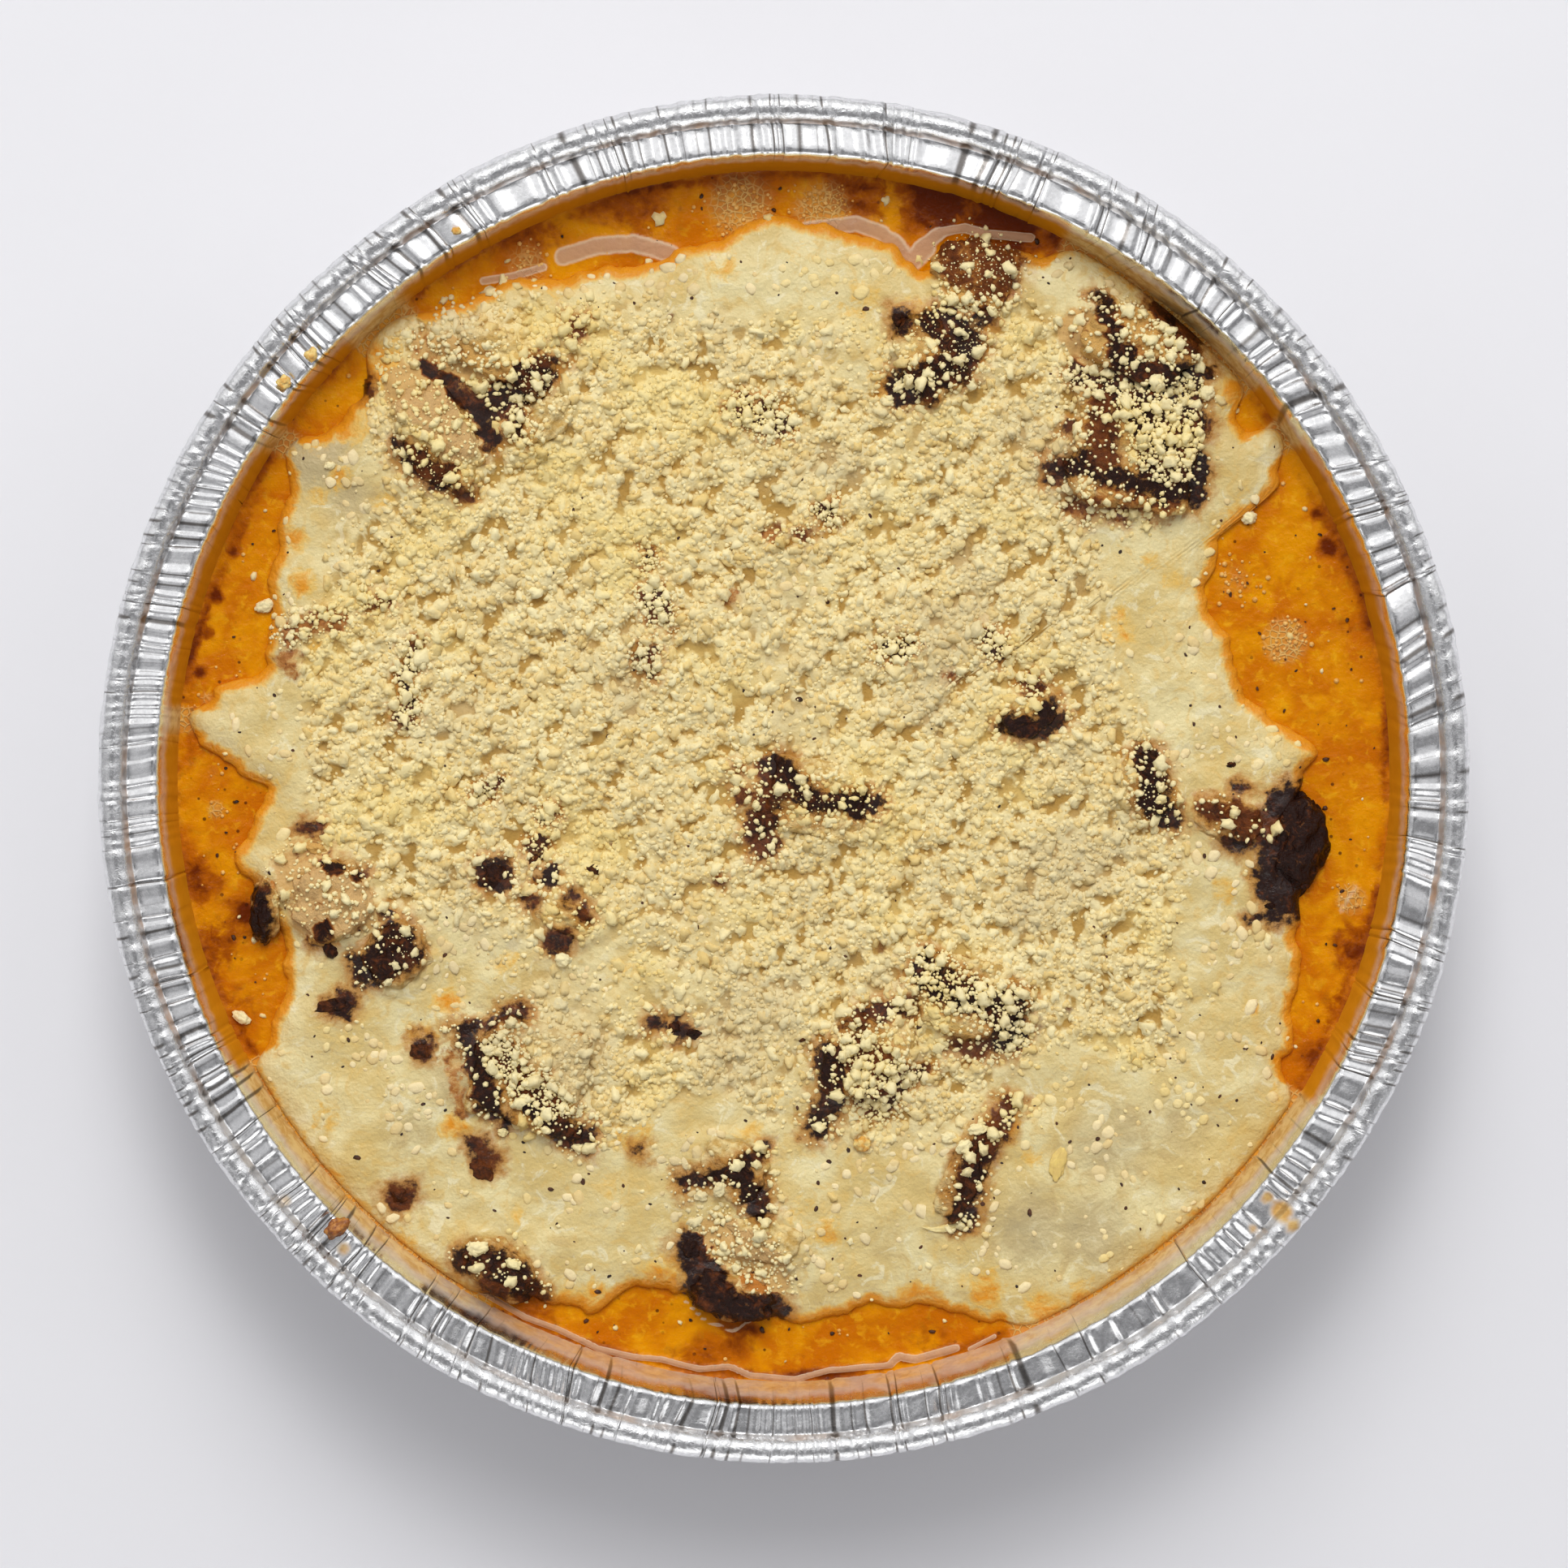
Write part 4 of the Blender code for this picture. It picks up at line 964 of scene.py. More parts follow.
GREY_SPOTS = (
    (-62, 44, 9, 1.0), (-58, 38, 7, 0.8), (-51, 34, 6, 0.6), (44, -48, 14, 0.7), (52, -46, 12, 0.6),
    (33, -60, 12, 0.8), (41, -60, 12, 0.8), (-44, -40, 10, 0.7), (-50, -46, 9, 0.6), (-58, 10, 7, 0.7),
    (-67, 17, 5, 0.6), (-57, -22, 8, 0.7), (-40, -18, 8, 0.6), (30, -38, 7, 0.6), (8, -28, 6, 0.4),
    (12, -44, 7, 0.5), (16, -46, 6, 0.6), (-2, 20, 6, 0.8), (0, 10, 7, 0.7), (20, 47, 6, 0.7),
    (17, 50, 4, 0.6),
    (-22, 32, 6, 0.4), (-25, 45, 5, 0.6), (32, 58, 6, 0.5), (47, 0, 7, 0.5), (12, 4, 7, 0.4),
    (55, -34, 6, 0.4),
    (-12, 20, 5, 0.4), (60, 14, 6, 0.4), (-66, -45, 6, 0.5), (-30, -62, 6, 0.4), (14, -62, 7, 0.5),
)
FRECKLES = (
    (-1, 34, 2.2, 0.9), (-3, 49, 2.4, 0.8), (1.5, 47.5, 2.0, 0.8), (2, 33, 1.5, 0.9), (-18, 17, 1.8, 0.7),
    (17, 19, 1.6, 0.6), (25, 24, 2.0, 0.6), (33, 25, 1.5, 0.6), (12.5, 42, 1.5, 0.7), (-50, 15, 1.6, 0.7),
    (-50, 8, 1.6, 0.7), (-62, 22, 1.8, 0.7), (-45, 50, 1.5, 0.7), (-33, -13, 1.8, 0.7), (29, 43, 1.8, 0.6),
    (40, 60, 2.0, 0.6), (-13, 56, 2.4, 0.6), (-15, 62, 1.8, 0.8), (13, -22, 2.2, 0.7), (34, -32, 2.6, 0.6),
    (38, -30, 2.0, 0.7), (-24, -48, 1.6, 0.7), (50, -25, 1.4, 0.6), (-37, 34, 2.0, 0.5), (48, 24, 1.6, 0.5),
    (41, -9, 1.6, 0.6), (-13, -36, 1.4, 0.5), (-37, 12, 2.0, 0.5), (-23, -8, 2.0, 0.6), (-50, 40, 2.0, 0.6),
)


def mounds(x, y):
    """Height that the cream gains over and round the chunks that it holds."""
    total = 0.0
    for _, cx, cy, length, width, _, turn, *_ in CHUNKS:
        dx, dy = x / MM - cx, y / MM - cy
        if abs(dx) < 22 and abs(dy) < 22:
            spread = (length + width) / 4 * MOUND_REACH
            total = max(total, MOUND_HEIGHT * math.exp(-(dx * dx + dy * dy) / spread ** 2))
            along, across = math.cos(math.radians(turn)), math.sin(math.radians(turn))
            u, v = (dx * along + dy * across) / (length / 2), (dy * along - dx * across) / (width / 2)
            ring = (math.hypot(u, v) - 1.0) / 0.30
            uneven = 0.5 + 0.9 * grain_noise(x, y, 2.6, 17.0)
            total = max(total, (MOUND_HEIGHT * 0.7 + COLLAR * uneven) * math.exp(-ring * ring))
    return total


def cream_height(x, y, inside=None):
    """Height of the cream's surface, with its dome, its lumps and its rounded edge."""
    radius = math.hypot(x, y)
    inside = max(0.0, inside_cream(x, y) if inside is None else inside)
    height = CREAM_LEVEL + CREAM_DOME * (1 - (radius / RIM_RADIUS) ** 2) + mounds(x, y)
    for size, depth in LUMPS:
        height += depth * noise.noise(Vector((x, y, size)) / size)
    lip = SAUCE_LEVEL + CREAM_LIP
    rise = min(1.0, inside / CREAM_ROUNDING)
    return lip + (height - lip) * math.sqrt(rise * (2 - rise))


CRUSTS = Marks(CRUST_MARKS, HALO)


def crust_at(x, y):
    """How bare a crust is of cream, from 0 past its halo to 1, with its toast and its share of crumbs."""
    x += 1.2 * MM * grain_noise(x, y, 3.0, 51.0) + 0.8 * MM * grain_noise(x, y, 1.1, 52.0)
    y += 1.2 * MM * grain_noise(x, y, 3.0, 53.0) + 0.8 * MM * grain_noise(x, y, 1.1, 54.0)
    inside, nearest, first = -HALO, None, None
    for depth, mark in CRUSTS.here(x, y):
        if depth > inside:
            inside, nearest = depth, mark
        if first is None and depth > 0:
            first = mark
    if nearest is None:
        return 0.0, 0.0, 0.0
    mark = first or nearest
    inside += 0.35 - 0.9 * max(0.0, grain_noise(x, y, 1.6, 55.0))
    return min(1.0, max(0.0, 0.5 + 0.5 * inside / HALO)), mark[2], mark[3]


def cheese_share(x, y):
    """How thickly the grated cheese lies, from 0 to 1."""
    dx, dy = x / MM - CHEESE_MIDDLE[0], y / MM - CHEESE_MIDDLE[1]
    inside = ring_value(CHEESE_EDGE, math.atan2(dy, dx)) - math.hypot(dx, dy)
    inside += 2.6 * grain_noise(x, y, 7.0, 5.0) + 1.2 * grain_noise(x, y, 2.5, 6.0)
    return ease(inside, -1.5, 3.5) * (1 - BARE_MARKS.value(x, y))


BARE_SPOTS = (
    (-26, -24, 14, 0.75), (-36, -23, 9, 0.8), (-20, -27, 8, 0.7), (-12, -27, 7, 0.6), (-1, 16, 5, 0.8),
    (5, 58, 6, 0.8), (16, 46, 4, 0.7), (-54, 40, 6, 0.8), (4, -43, 9, 0.7), (0, -36, 6, 0.5),
    (-4, 22, 4, 0.6),
    (1.5, 26.5, 5.5, 0.9), (2.4, 8.8, 6.0, 0.75), (-10.8, -19, 7.0, 0.7), (9, 56.5, 6, 0.8),
    (46, 12, 7, 0.4), (34, -38, 7, 0.7), (28, -45, 6, 0.7), (44, -38, 6, 0.4),
)
BARE_MARKS = spot_marks(BARE_SPOTS)


def lattice_place(vert):
    """Share of the way out and angle of a hexagon's lattice vertex, spaced evenly round a circle."""
    angle = math.atan2(vert.co.y, vert.co.x) - math.pi / 6
    sector = math.floor(angle / (math.pi / 3) + 1e-5)
    within = angle - (sector + 0.5) * math.pi / 3
    share = vert.co.length * math.cos(within) / math.cos(math.pi / 6)
    along = 0.5 + math.tan(within) / (2 * math.tan(math.pi / 6))
    return min(1.0, share), (sector + along) * math.pi / 3 + math.pi / 6


def build_cream(finish):
    """A triangle lattice stretched to the cream's edge, with its lip and its sunk root."""
    bm = bmesh.new()
    bmesh.ops.create_circle(bm, cap_ends=True, cap_tris=True, segments=6, radius=1)
    bmesh.ops.subdivide_edges(bm, edges=bm.edges, cuts=LATTICE_CUTS, use_grid_fill=True)
    bmesh.ops.triangulate(bm, faces=bm.faces)
    cheese = bm.verts.layers.float.new("cheese")
    bleed = bm.verts.layers.float.new("bleed")
    grey = bm.verts.layers.float.new("grey")
    brown = bm.verts.layers.float.new("brown")
    pit = bm.verts.layers.float.new("pit")
    bare = bm.verts.layers.float.new("bare")
    toast = bm.verts.layers.float.new("toast")
    bleed_marks = spot_marks(BLEED_SPOTS)
    grey_marks = spot_marks(GREY_SPOTS)
    freckle_marks = spot_marks(FRECKLES)
    for vert in bm.verts:
        share, angle = lattice_place(vert)
        edge = cream_edge(angle)
        radius = share * edge
        x, y = radius * math.cos(angle), radius * math.sin(angle)
        cover = cheese_share(x, y)
        inside = inside_cream(x, y)
        height = cream_height(x, y, inside)
        crumbly = cover * ease(inside, 0, 3 * MM)
        hollow = pit_noise(x, y)
        grainy = 0.45 * MM * ridge_noise(x, y) + 0.20 * MM * grain_noise(x, y, 1.3, 14.0)
        height += crumbly * (grainy - 0.5 * MM * hollow)
        curds = (1 - cover) * ease(inside, 0, 2 * MM)
        height += curds * 0.10 * MM * grain_noise(x, y, 1.6, 13.0)
        vert.co = (x, y, height)
        vert[cheese] = cover
        at_wall = edge > 80 * MM
        rim = 1 - ease(inside, 0.2 * MM, (2.0 if at_wall else 2.6) * MM)
        vert[bleed] = max(bleed_marks.value(x, y), (0.5 if at_wall else 1.1) * rim)
        vert[grey] = grey_marks.value(x, y)
        vert[brown] = freckle_marks.value(x, y)
        vert[pit] = hollow
        vert[bare], vert[toast], _ = crust_at(x, y)
    rings = (
        (cream_edge, 0.0, SAUCE_LEVEL - 0.3 * MM),
        (ledge_radius, 1.4 * MM, SAUCE_LEVEL - 1.0 * MM),
        (ledge_radius, 1.6 * MM, SAUCE_LEVEL - CREAM_SUNK + 0.2 * MM),
    )
    for radius_at, less, height in rings:
        made = bmesh.ops.extrude_edge_only(bm, edges=[e for e in bm.edges if e.is_boundary])["geom"]
        for vert in (v for v in made if isinstance(v, bmesh.types.BMVert)):
            angle = math.atan2(vert.co.y, vert.co.x)
            radius = radius_at(angle) - less
            vert.co = (radius * math.cos(angle), radius * math.sin(angle), height)
    bmesh.ops.holes_fill(bm, edges=[e for e in bm.edges if e.is_boundary], sides=0)
    bmesh.ops.triangulate(bm, faces=[f for f in bm.faces if len(f.verts) > 4])
    tree = BVHTree.FromBMesh(bm)
    add_piece("cream_body", bm, finish, "cream", "cream_topping")
    return tree


# Chunks


def build_rock(middle, length, width, height, turn, boxiness, toast, seed, detail, swell=1.0, own=0.0):
    """A crusty chunk in its place, bare where a mark shows it, or all over at the share own."""
    place = Matrix.Translation(middle) @ Matrix.Rotation(math.radians(turn), 4, "Z")
    bm = bmesh.new()
    bmesh.ops.create_icosphere(bm, subdivisions=detail, radius=1)
    toasted = bm.verts.layers.float.new("toast")
    bare = bm.verts.layers.float.new("bare")
    for vert in bm.verts:
        way = vert.co.normalized()
        to_box = min(1.5, 1 / max(abs(way.x), abs(way.y), abs(way.z)))
        rough = 1 + CHUNK_ROUGHNESS * noise.noise(way * 1.9 + Vector((seed, 0, 0)))
        rough += 0.13 * noise.noise(way * 4.3 + Vector((0, seed, 0))) * swell
        way *= (1 + boxiness * (to_box - 1)) * rough
        point = place @ Vector((way.x * length / 2, way.y * width / 2, way.z * height / 2))
        crag = abs(noise.noise(point / (2.1 * MM) + Vector((seed, seed, 0))))
        crag = 0.55 * MM * (0.35 - crag) + 0.22 * MM * noise.noise(point / (0.8 * MM))
        point += vert.co.normalized() * crag * swell * min(1.0, height / (6 * MM))
        radius = point.xy.length
        if radius > CHUNK_REACH:
            point.xy *= CHUNK_REACH / radius
        shown, mark_toast, _ = crust_at(point.x, point.y)
        side = ease(vert.co.normalized().z, 0.55, 0.25)
        vert[bare] = max(shown, own, 0.50 * side)
        vert[toasted] = mark_toast if shown > 0.3 else toast
        vert.co = point
    return bm


def build_chunks(finishes):
    trees = []
    for seed, chunk in enumerate(CHUNKS):
        name, x, y, length, width, height, turn, boxiness, toast = chunk
        sizes = (length * MM, width * MM, height * MM)
        low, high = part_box("chunk_" + name)
        middle = (x * MM, y * MM, (low.z + high.z) / 2)
        bm = build_rock(middle, *sizes, turn, boxiness, toast, seed, 5)
        trees.append(((x * MM, y * MM), 0.62 * max(sizes), BVHTree.FromBMesh(bm)))
        kind = "glossy" if name in GLOSSY_CHUNKS else "pale" if name in PALE_CHUNKS else "browned"
        slot = "pale_chunk" if name in PALE_CHUNKS else "browned_chunk"
        add_piece("crust_" + name, bm, finishes[kind], slot, "chunk_" + name)
    return trees


def join_into(target, source):
    """Adds one bmesh to another through a mesh of its own."""
    mesh = bpy.data.meshes.new("joining")
    source.to_mesh(mesh)
    source.free()
    target.from_mesh(mesh)
    bpy.data.meshes.remove(mesh)


def build_bits(finish):
    bm = bmesh.new()
    bm.verts.layers.float.new("toast")
    bm.verts.layers.float.new("bare")
    for seed, (x, y, length, width, turn, toast) in enumerate(BITS):
        sizes = (0.62 * length * MM, 0.62 * width * MM, 3.6 * MM)
        x, y = x * LOOK_SPREAD * MM, (y * LOOK_SPREAD - LOOK_SHIFT) * MM
        middle = (x, y, cream_height(x, y) - 1.35 * MM)
        rock = build_rock(middle, *sizes, turn, 0.3, toast, 50 + seed, 4, 0.8, 0.8)
        join_into(bm, rock)
    add_piece("crust_bits", bm, finish, "browned_chunk")


# Loose crumbs: x, y, length, width, turn and kind
LOOSE = (
    (-69.2, 23.8, 2.6, 1.7, 20, "cheese"), (22.0, -47.3, 2.0, 1.6, 0, "cheese"),
    (24.0, -48.4, 2.2, 1.7, 40, "cheese"),
    (25.8, -46.0, 2.4, 1.6, 10, "cheese"), (10.5, -48.2, 2.3, 1.9, 0, "rind"),
    (-8.6, -54.1, 2.0, 1.5, 60, "cheese"),
    (-11.1, -55.2, 1.7, 1.4, 0, "cheese"), (-39.2, -35.3, 1.9, 1.5, 20, "cheese"),
    (-37.6, -46.6, 1.3, 1.1, 0, "cheese"),
    (-40.9, -61.9, 2.8, 1.8, 10, "cheese"), (-36.2, -64.1, 2.1, 1.3, -20, "cheese"),
    (-72.7, -31.4, 2.4, 1.6, -30, "cheese"),
    (-60.4, 42.5, 1.4, 1.1, 0, "cheese"), (61.9, 35.6, 2.1, 2.0, 0, "cheese"),
    (37.9, 39.5, 1.8, 1.5, 0, "cheese"),
    (40.8, 36.6, 1.2, 1.0, 0, "cheese"), (56.2, 52.2, 2.1, 1.8, 0, "cheese"),
    (-29.6, -23.4, 2.0, 1.8, 0, "cheese"),
    (-65.9, 53.5, 2.1, 1.7, 30, "rind"), (-62.3, 57.1, 2.0, 1.5, 60, "rind"),
    (-43.1, 73.4, 1.3, 1.0, 0, "rind"),
    (-59.4, -58.6, 3.4, 2.2, 40, "burnt"), (36.7, -50.9, 4.4, 2.0, 80, "fleck"),
    (21.4, -59.6, 5.4, 1.7, 12, "flake"),
)


def build_loose(finishes, cream_tree, foil_tree, trees):
    """Single crumbs that show: on the cream, on the sauce and on the flange."""
    kinds = {}
    for seed, (x, y, length, width, turn, kind) in enumerate(LOOSE):
        x, y = x * LOOK_SPREAD * MM, (y * LOOK_SPREAD - LOOK_SHIFT) * MM
        height, _ = ground_at(x, y, cream_tree, trees)
        if math.hypot(x, y) > 82 * MM:
            over = Vector((x, y, OVER_FOOD))
            height = foil_tree.ray_cast(over, Vector((0, 0, -1)))[0].z
        thick = (0.5 if kind in ("fleck", "flake") else 0.75 * width) * MM
        bm = bmesh.new()
        bmesh.ops.create_icosphere(bm, subdivisions=4, radius=1)
        bm.verts.layers.float.new("tint")
        for vert in bm.verts:
            way = vert.co.copy()
            knobbly = 0.35 * noise.noise(way * 1.5 + Vector((seed, 3, 0)))
            knobbly += 0.2 * noise.noise(way * 4 + Vector((0, seed, 0)))
            way *= 1 + knobbly
            u, v, w = way.x * length / 2 * MM, way.y * width / 2 * MM, way.z * thick / 2
            if kind == "flake":
                v = 0.55 * v * (1 - 0.5 * (u / (length / 2 * MM)) ** 2) + 0.12 / MM * u * u
                w += 0.35 * MM * (u / (length / 2 * MM)) ** 2
            vert.co = (u, v, w)
        lifted = Matrix.Translation((x, y, height + 0.25 * thick))
        place = lifted @ Matrix.Rotation(math.radians(turn), 4, "Z")
        bmesh.ops.transform(bm, matrix=place, verts=bm.verts)
        kinds.setdefault(kind, []).append(bm)
    for kind, rocks in kinds.items():
        first = rocks[0]
        for rock in rocks[1:]:
            join_into(first, rock)
        add_piece("loose_" + kind, first, finishes[kind], "cream")


# Grains

# Lumps and curds have 80 faces and the rest 20, which keeps each piece under 200,000 triangles
MOST_LUMPS = 2450
MOST_GRAINS = 9950


def scatter(name, seeds, shape, finish, slot):
    """One mesh of many copies of a shape: each seed is place, turn, size and tint."""
    points = bpy.data.meshes.new(name + "_points")
    points.from_pydata([seed[0] for seed in seeds], [], [])
    columns = (("turn", 1), ("size", 2))
    for label, at in columns:
        layer = points.attributes.new(label, "FLOAT_VECTOR", "POINT")
        layer.data.foreach_set("vector", [v for seed in seeds for v in seed[at]])
    tints = points.attributes.new("tint", "FLOAT", "POINT")
    tints.data.foreach_set("value", [seed[3] for seed in seeds])
    holder = bpy.data.objects.new(name + "_points", points)
    bpy.context.scene.collection.objects.link(holder)
    tree = bpy.data.node_groups.new(name + "_scatter", "GeometryNodeTree")
    tree.interface.new_socket("Points", in_out="INPUT", socket_type="NodeSocketGeometry")
    tree.interface.new_socket("Grains", in_out="OUTPUT", socket_type="NodeSocketGeometry")

    def node(kind, **settings):
        made = tree.nodes.new(kind)
        for label, value in settings.items():
            setattr(made, label, value)
        return made

    def named(label):
        made = node("GeometryNodeInputNamedAttribute", data_type="FLOAT_VECTOR")
        made.inputs["Name"].default_value = label
        return made.outputs["Attribute"]

    grain = bpy.data.objects.new(name + "_grain", shape)
    start, end = node("NodeGroupInput"), node("NodeGroupOutput")
    source = node("GeometryNodeObjectInfo")
    source.inputs["Object"].default_value = grain
    spread = node("GeometryNodeInstanceOnPoints")
    turning = node("FunctionNodeEulerToRotation")
    solid = node("GeometryNodeRealizeInstances")
    for out, into in (
        (start.outputs[0], spread.inputs["Points"]), (source.outputs["Geometry"], spread.inputs["Instance"]),
        (named("turn"), turning.inputs[0]), (turning.outputs[0], spread.inputs["Rotation"]),
        (named("size"), spread.inputs["Scale"]), (spread.outputs[0], solid.inputs[0]),
        (solid.outputs[0], end.inputs[0]),
    ):
        tree.links.new(out, into)
    holder.modifiers.new("scatter", "NODES").node_group = tree
    shown = holder.evaluated_get(bpy.context.evaluated_depsgraph_get())
    mesh = bpy.data.meshes.new_from_object(shown)
    mesh.name = name
    bpy.data.objects.remove(holder)
    bpy.data.objects.remove(grain)
    show_piece(name, mesh, finish, slot)


def grain_shape(name, detail, lumpy, seed):
    """A lumpy grain of radius 1."""
    bm = bmesh.new()
    bmesh.ops.create_icosphere(bm, subdivisions=detail, radius=1)
    for vert in bm.verts:
        vert.co *= 1 + lumpy * noise.noise(vert.co * 1.6 + Vector((seed, 0, 0)))
    mesh = bpy.data.meshes.new(name)
    bm.to_mesh(mesh)
    bm.free()
    return mesh


def ground_at(x, y, cream_tree, trees):
    """Height of the food's surface, and whether a chunk is on top there."""
    start = Vector((x, y, OVER_FOOD))
    hit = cream_tree.ray_cast(start, Vector((0, 0, -1)))[0]
    height, on_chunk = (hit.z, False) if hit else (SAUCE_LEVEL, False)
    for (cx, cy), reach, tree in trees:
        if abs(x - cx) < reach and abs(y - cy) < reach:
            hit = tree.ray_cast(start, Vector((0, 0, -1)))[0]
            if hit and hit.z > height:
                height, on_chunk = hit.z, True
    return height, on_chunk


def hex_places(dice, spacing, reach, jitter=0.45):
    """Uneven places on a hexagonal grid inside a radius."""
    rows = int(reach / (spacing * 0.866)) + 1
    for j in range(-rows, rows + 1):
        for i in range(-rows - 1, rows + 2):
            x = (i + 0.5 * (j % 2)) * spacing + dice.uniform(-jitter, jitter) * spacing
            y = j * spacing * 0.866 + dice.uniform(-jitter, jitter) * spacing
            if math.hypot(x, y) < reach:
                yield x, y


def any_turn(dice):
    return (dice.uniform(0, math.tau), dice.uniform(0, math.tau), dice.uniform(0, math.tau))


def cheese_seeds(dice, spacing, low, high, sink, chance, cream_tree, trees):
    """Grains over the cheese field, as many on each bare crust as its mark says, and few past the field."""
    seeds = []
    for x, y in hex_places(dice, spacing, 79.5 * MM):
        cover = cheese_share(x, y)
        bare, _, crumbs = crust_at(x, y)
        clump = 0.5 + 0.5 * grain_noise(x, y, 3.0, 31.0)
        share = max(chance * cover * (1 - 0.8 * pit_noise(x, y)), 0.7 * crumbs * (bare > 0.12)) + 0.006
        if bare > BARE_FROM:
            share = (0.06 * (crumbs > 0) + 1.1 * crumbs) * (0.5 + 1.2 * clump)
        if dice.random() > share:
            continue
        height, _ = ground_at(x, y, cream_tree, trees)
        size = dice.uniform(low, high) * (0.8 + 0.4 * clump)
        if bare > BARE_FROM:
            size *= 0.9
        tint = dice.random() * 0.7 + 0.3 * (0.5 + 0.5 * grain_noise(x, y, 9.0, 33.0))
        flat = (size * dice.uniform(0.85, 1.3), size * dice.uniform(0.8, 1.1), size * dice.uniform(0.6, 0.85))
        lift = size * (0.25 if bare > BARE_FROM else sink)
        seeds.append(((x, y, height + lift), any_turn(dice), flat, tint * (0.4 if bare > BARE_FROM else 1.0)))
    dice.shuffle(seeds)
    return seeds


# Crusts that are dusted all over with fine cheese: x, y, radius and strength
DUSTED = (
    (26.0, 69.2, 6.5, 0.75), (24.0, 57.6, 5.0, 0.8), (19.0, 59.5, 3.0, 0.6), (-33.0, 52.6, 5.0, 0.7),
    (-27.8, 60.5, 3.0, 0.6),
    (-48.5, 42.0, 5.0, 0.4), (41.0, 55.0, 4.0, 0.6), (48.6, -3.0, 5.0, 0.5), (3.0, -3.0, 6.0, 0.3),
    (-50.0, -21.0, 4.0, 0.4),
)


def powder_seeds(dice, cream_tree, trees):
    """Very fine crumbs on the bare crusts and round them."""
    seeds = []
    dusted = spot_marks(DUSTED)
    for x, y in hex_places(dice, 0.50 * MM, 80 * MM):
        bare, _, crumbs = crust_at(x, y)
        clump = 0.5 + 0.5 * grain_noise(x, y, 2.0, 35.0)
        dust = dusted.value(x, y) ** 0.5
        share = max((0.08 * (crumbs > 0) + 0.6 * crumbs) * (0.2 + 1.6 * clump), dust * (0.3 + clump))
        if bare < 0.3 or dice.random() > share:
            continue
        height, _ = ground_at(x, y, cream_tree, trees)
        size = dice.uniform(0.12, 0.30) * (0.55 if dust > 0.2 else 1.0) * MM
        stretch = (size, size * 0.9, size * 0.8)
        seeds.append(((x, y, height + 0.3 * size), any_turn(dice), stretch, 0.2 * dice.random()))
    dice.shuffle(seeds)
    return seeds


def foam_seeds(dice):
    """Bubbles on the sauce, packed where it foamed, with a few strays."""
    seeds = []
    foam = spot_marks(FOAM_SPOTS)
    for x, y in hex_places(dice, 0.62 * MM, 80.5 * MM):
        if inside_cream(x, y) > -0.3 * MM:
            continue
        if dice.random() > 1.1 * foam.value(x, y) ** 0.8 * (0.5 + 0.9 * grain_noise(x, y, 2.2, 61.0)) + 0.006:
            continue
        size = dice.choice((0.16, 0.2, 0.26, 0.34)) * MM * dice.uniform(0.8, 1.3)
        stretch = (size, size, 0.8 * size)
        seeds.append(((x, y, sauce_height(x, y) + 0.1 * size), (0, 0, 0), stretch, dice.random()))
    return seeds


def curd_seeds(dice, cream_tree, trees):
    """Small smooth curds half sunk in the cream where no cheese lies."""
    seeds = []
    for x, y in hex_places(dice, 1.7 * MM, 81 * MM):
        if inside_cream(x, y) < 0.8 * MM or dice.random() < cheese_share(x, y):
            continue
        if dice.random() > 0.05 + 0.9 * ease(grain_noise(x, y, 8.0, 41.0), 0.0, 0.5):
            continue
        height, on_chunk = ground_at(x, y, cream_tree, trees)
        if on_chunk or crust_at(x, y)[0] > 0.4:
            continue
        size = dice.uniform(0.35, 0.95) * MM * (0.6 + 0.5 * dice.random())
        flat = (size * dice.uniform(0.9, 1.4), size * dice.uniform(0.8, 1.1), size * 0.32)
        seeds.append(((x, y, height - 0.08 * size), (0, 0, dice.uniform(0, math.tau)), flat, dice.random()))
    dice.shuffle(seeds)
    return seeds


def pepper_seeds(dice, cream_tree, trees):
    """Dark specks, over the cream and the sauce alike."""
    seeds = []
    for x, y in hex_places(dice, 4.0 * MM, 80 * MM):
        share = 0.12 * cheese_share(x, y) + 0.30 * (1 - cheese_share(x, y))
        if dice.random() > share + 0.3 * max(0.0, grain_noise(x, y, 9.0, 43.0)):
            continue
        height, on_chunk = ground_at(x, y, cream_tree, trees)
        if on_chunk:
            continue
        size = dice.choice((0.12, 0.15, 0.2, 0.2, 0.32)) * MM * dice.uniform(0.8, 1.3)
        flat = (size * dice.uniform(0.9, 1.8), size, size * 0.5)
        seeds.append(((x, y, height), (0, 0, dice.uniform(0, math.tau)), flat, dice.random()))
    return seeds


CAMERA_AWAY = 0.85
CAMERA_TILT = math.radians(3.6)
PICTURE_WIDTH = 0.2094
FILM_WIDTH = 36.0
LAMP_AIM = 0.03


def add_camera():
    camera = bpy.data.cameras.new("camera")
    camera.sensor_width = FILM_WIDTH
    target = Vector((0, 0, TRAY_HEIGHT))
    place = target + CAMERA_AWAY * Vector((0, math.sin(CAMERA_TILT), math.cos(CAMERA_TILT)))
    camera.lens = FILM_WIDTH * CAMERA_AWAY / PICTURE_WIDTH
    camera.clip_start = 0.05
    camera.clip_end = 10
    shown = bpy.data.objects.new("camera", camera)
    shown.location = place
    shown.rotation_euler = (-CAMERA_TILT, 0, 0)
    bpy.context.scene.collection.objects.link(shown)
    bpy.context.scene.camera = shown


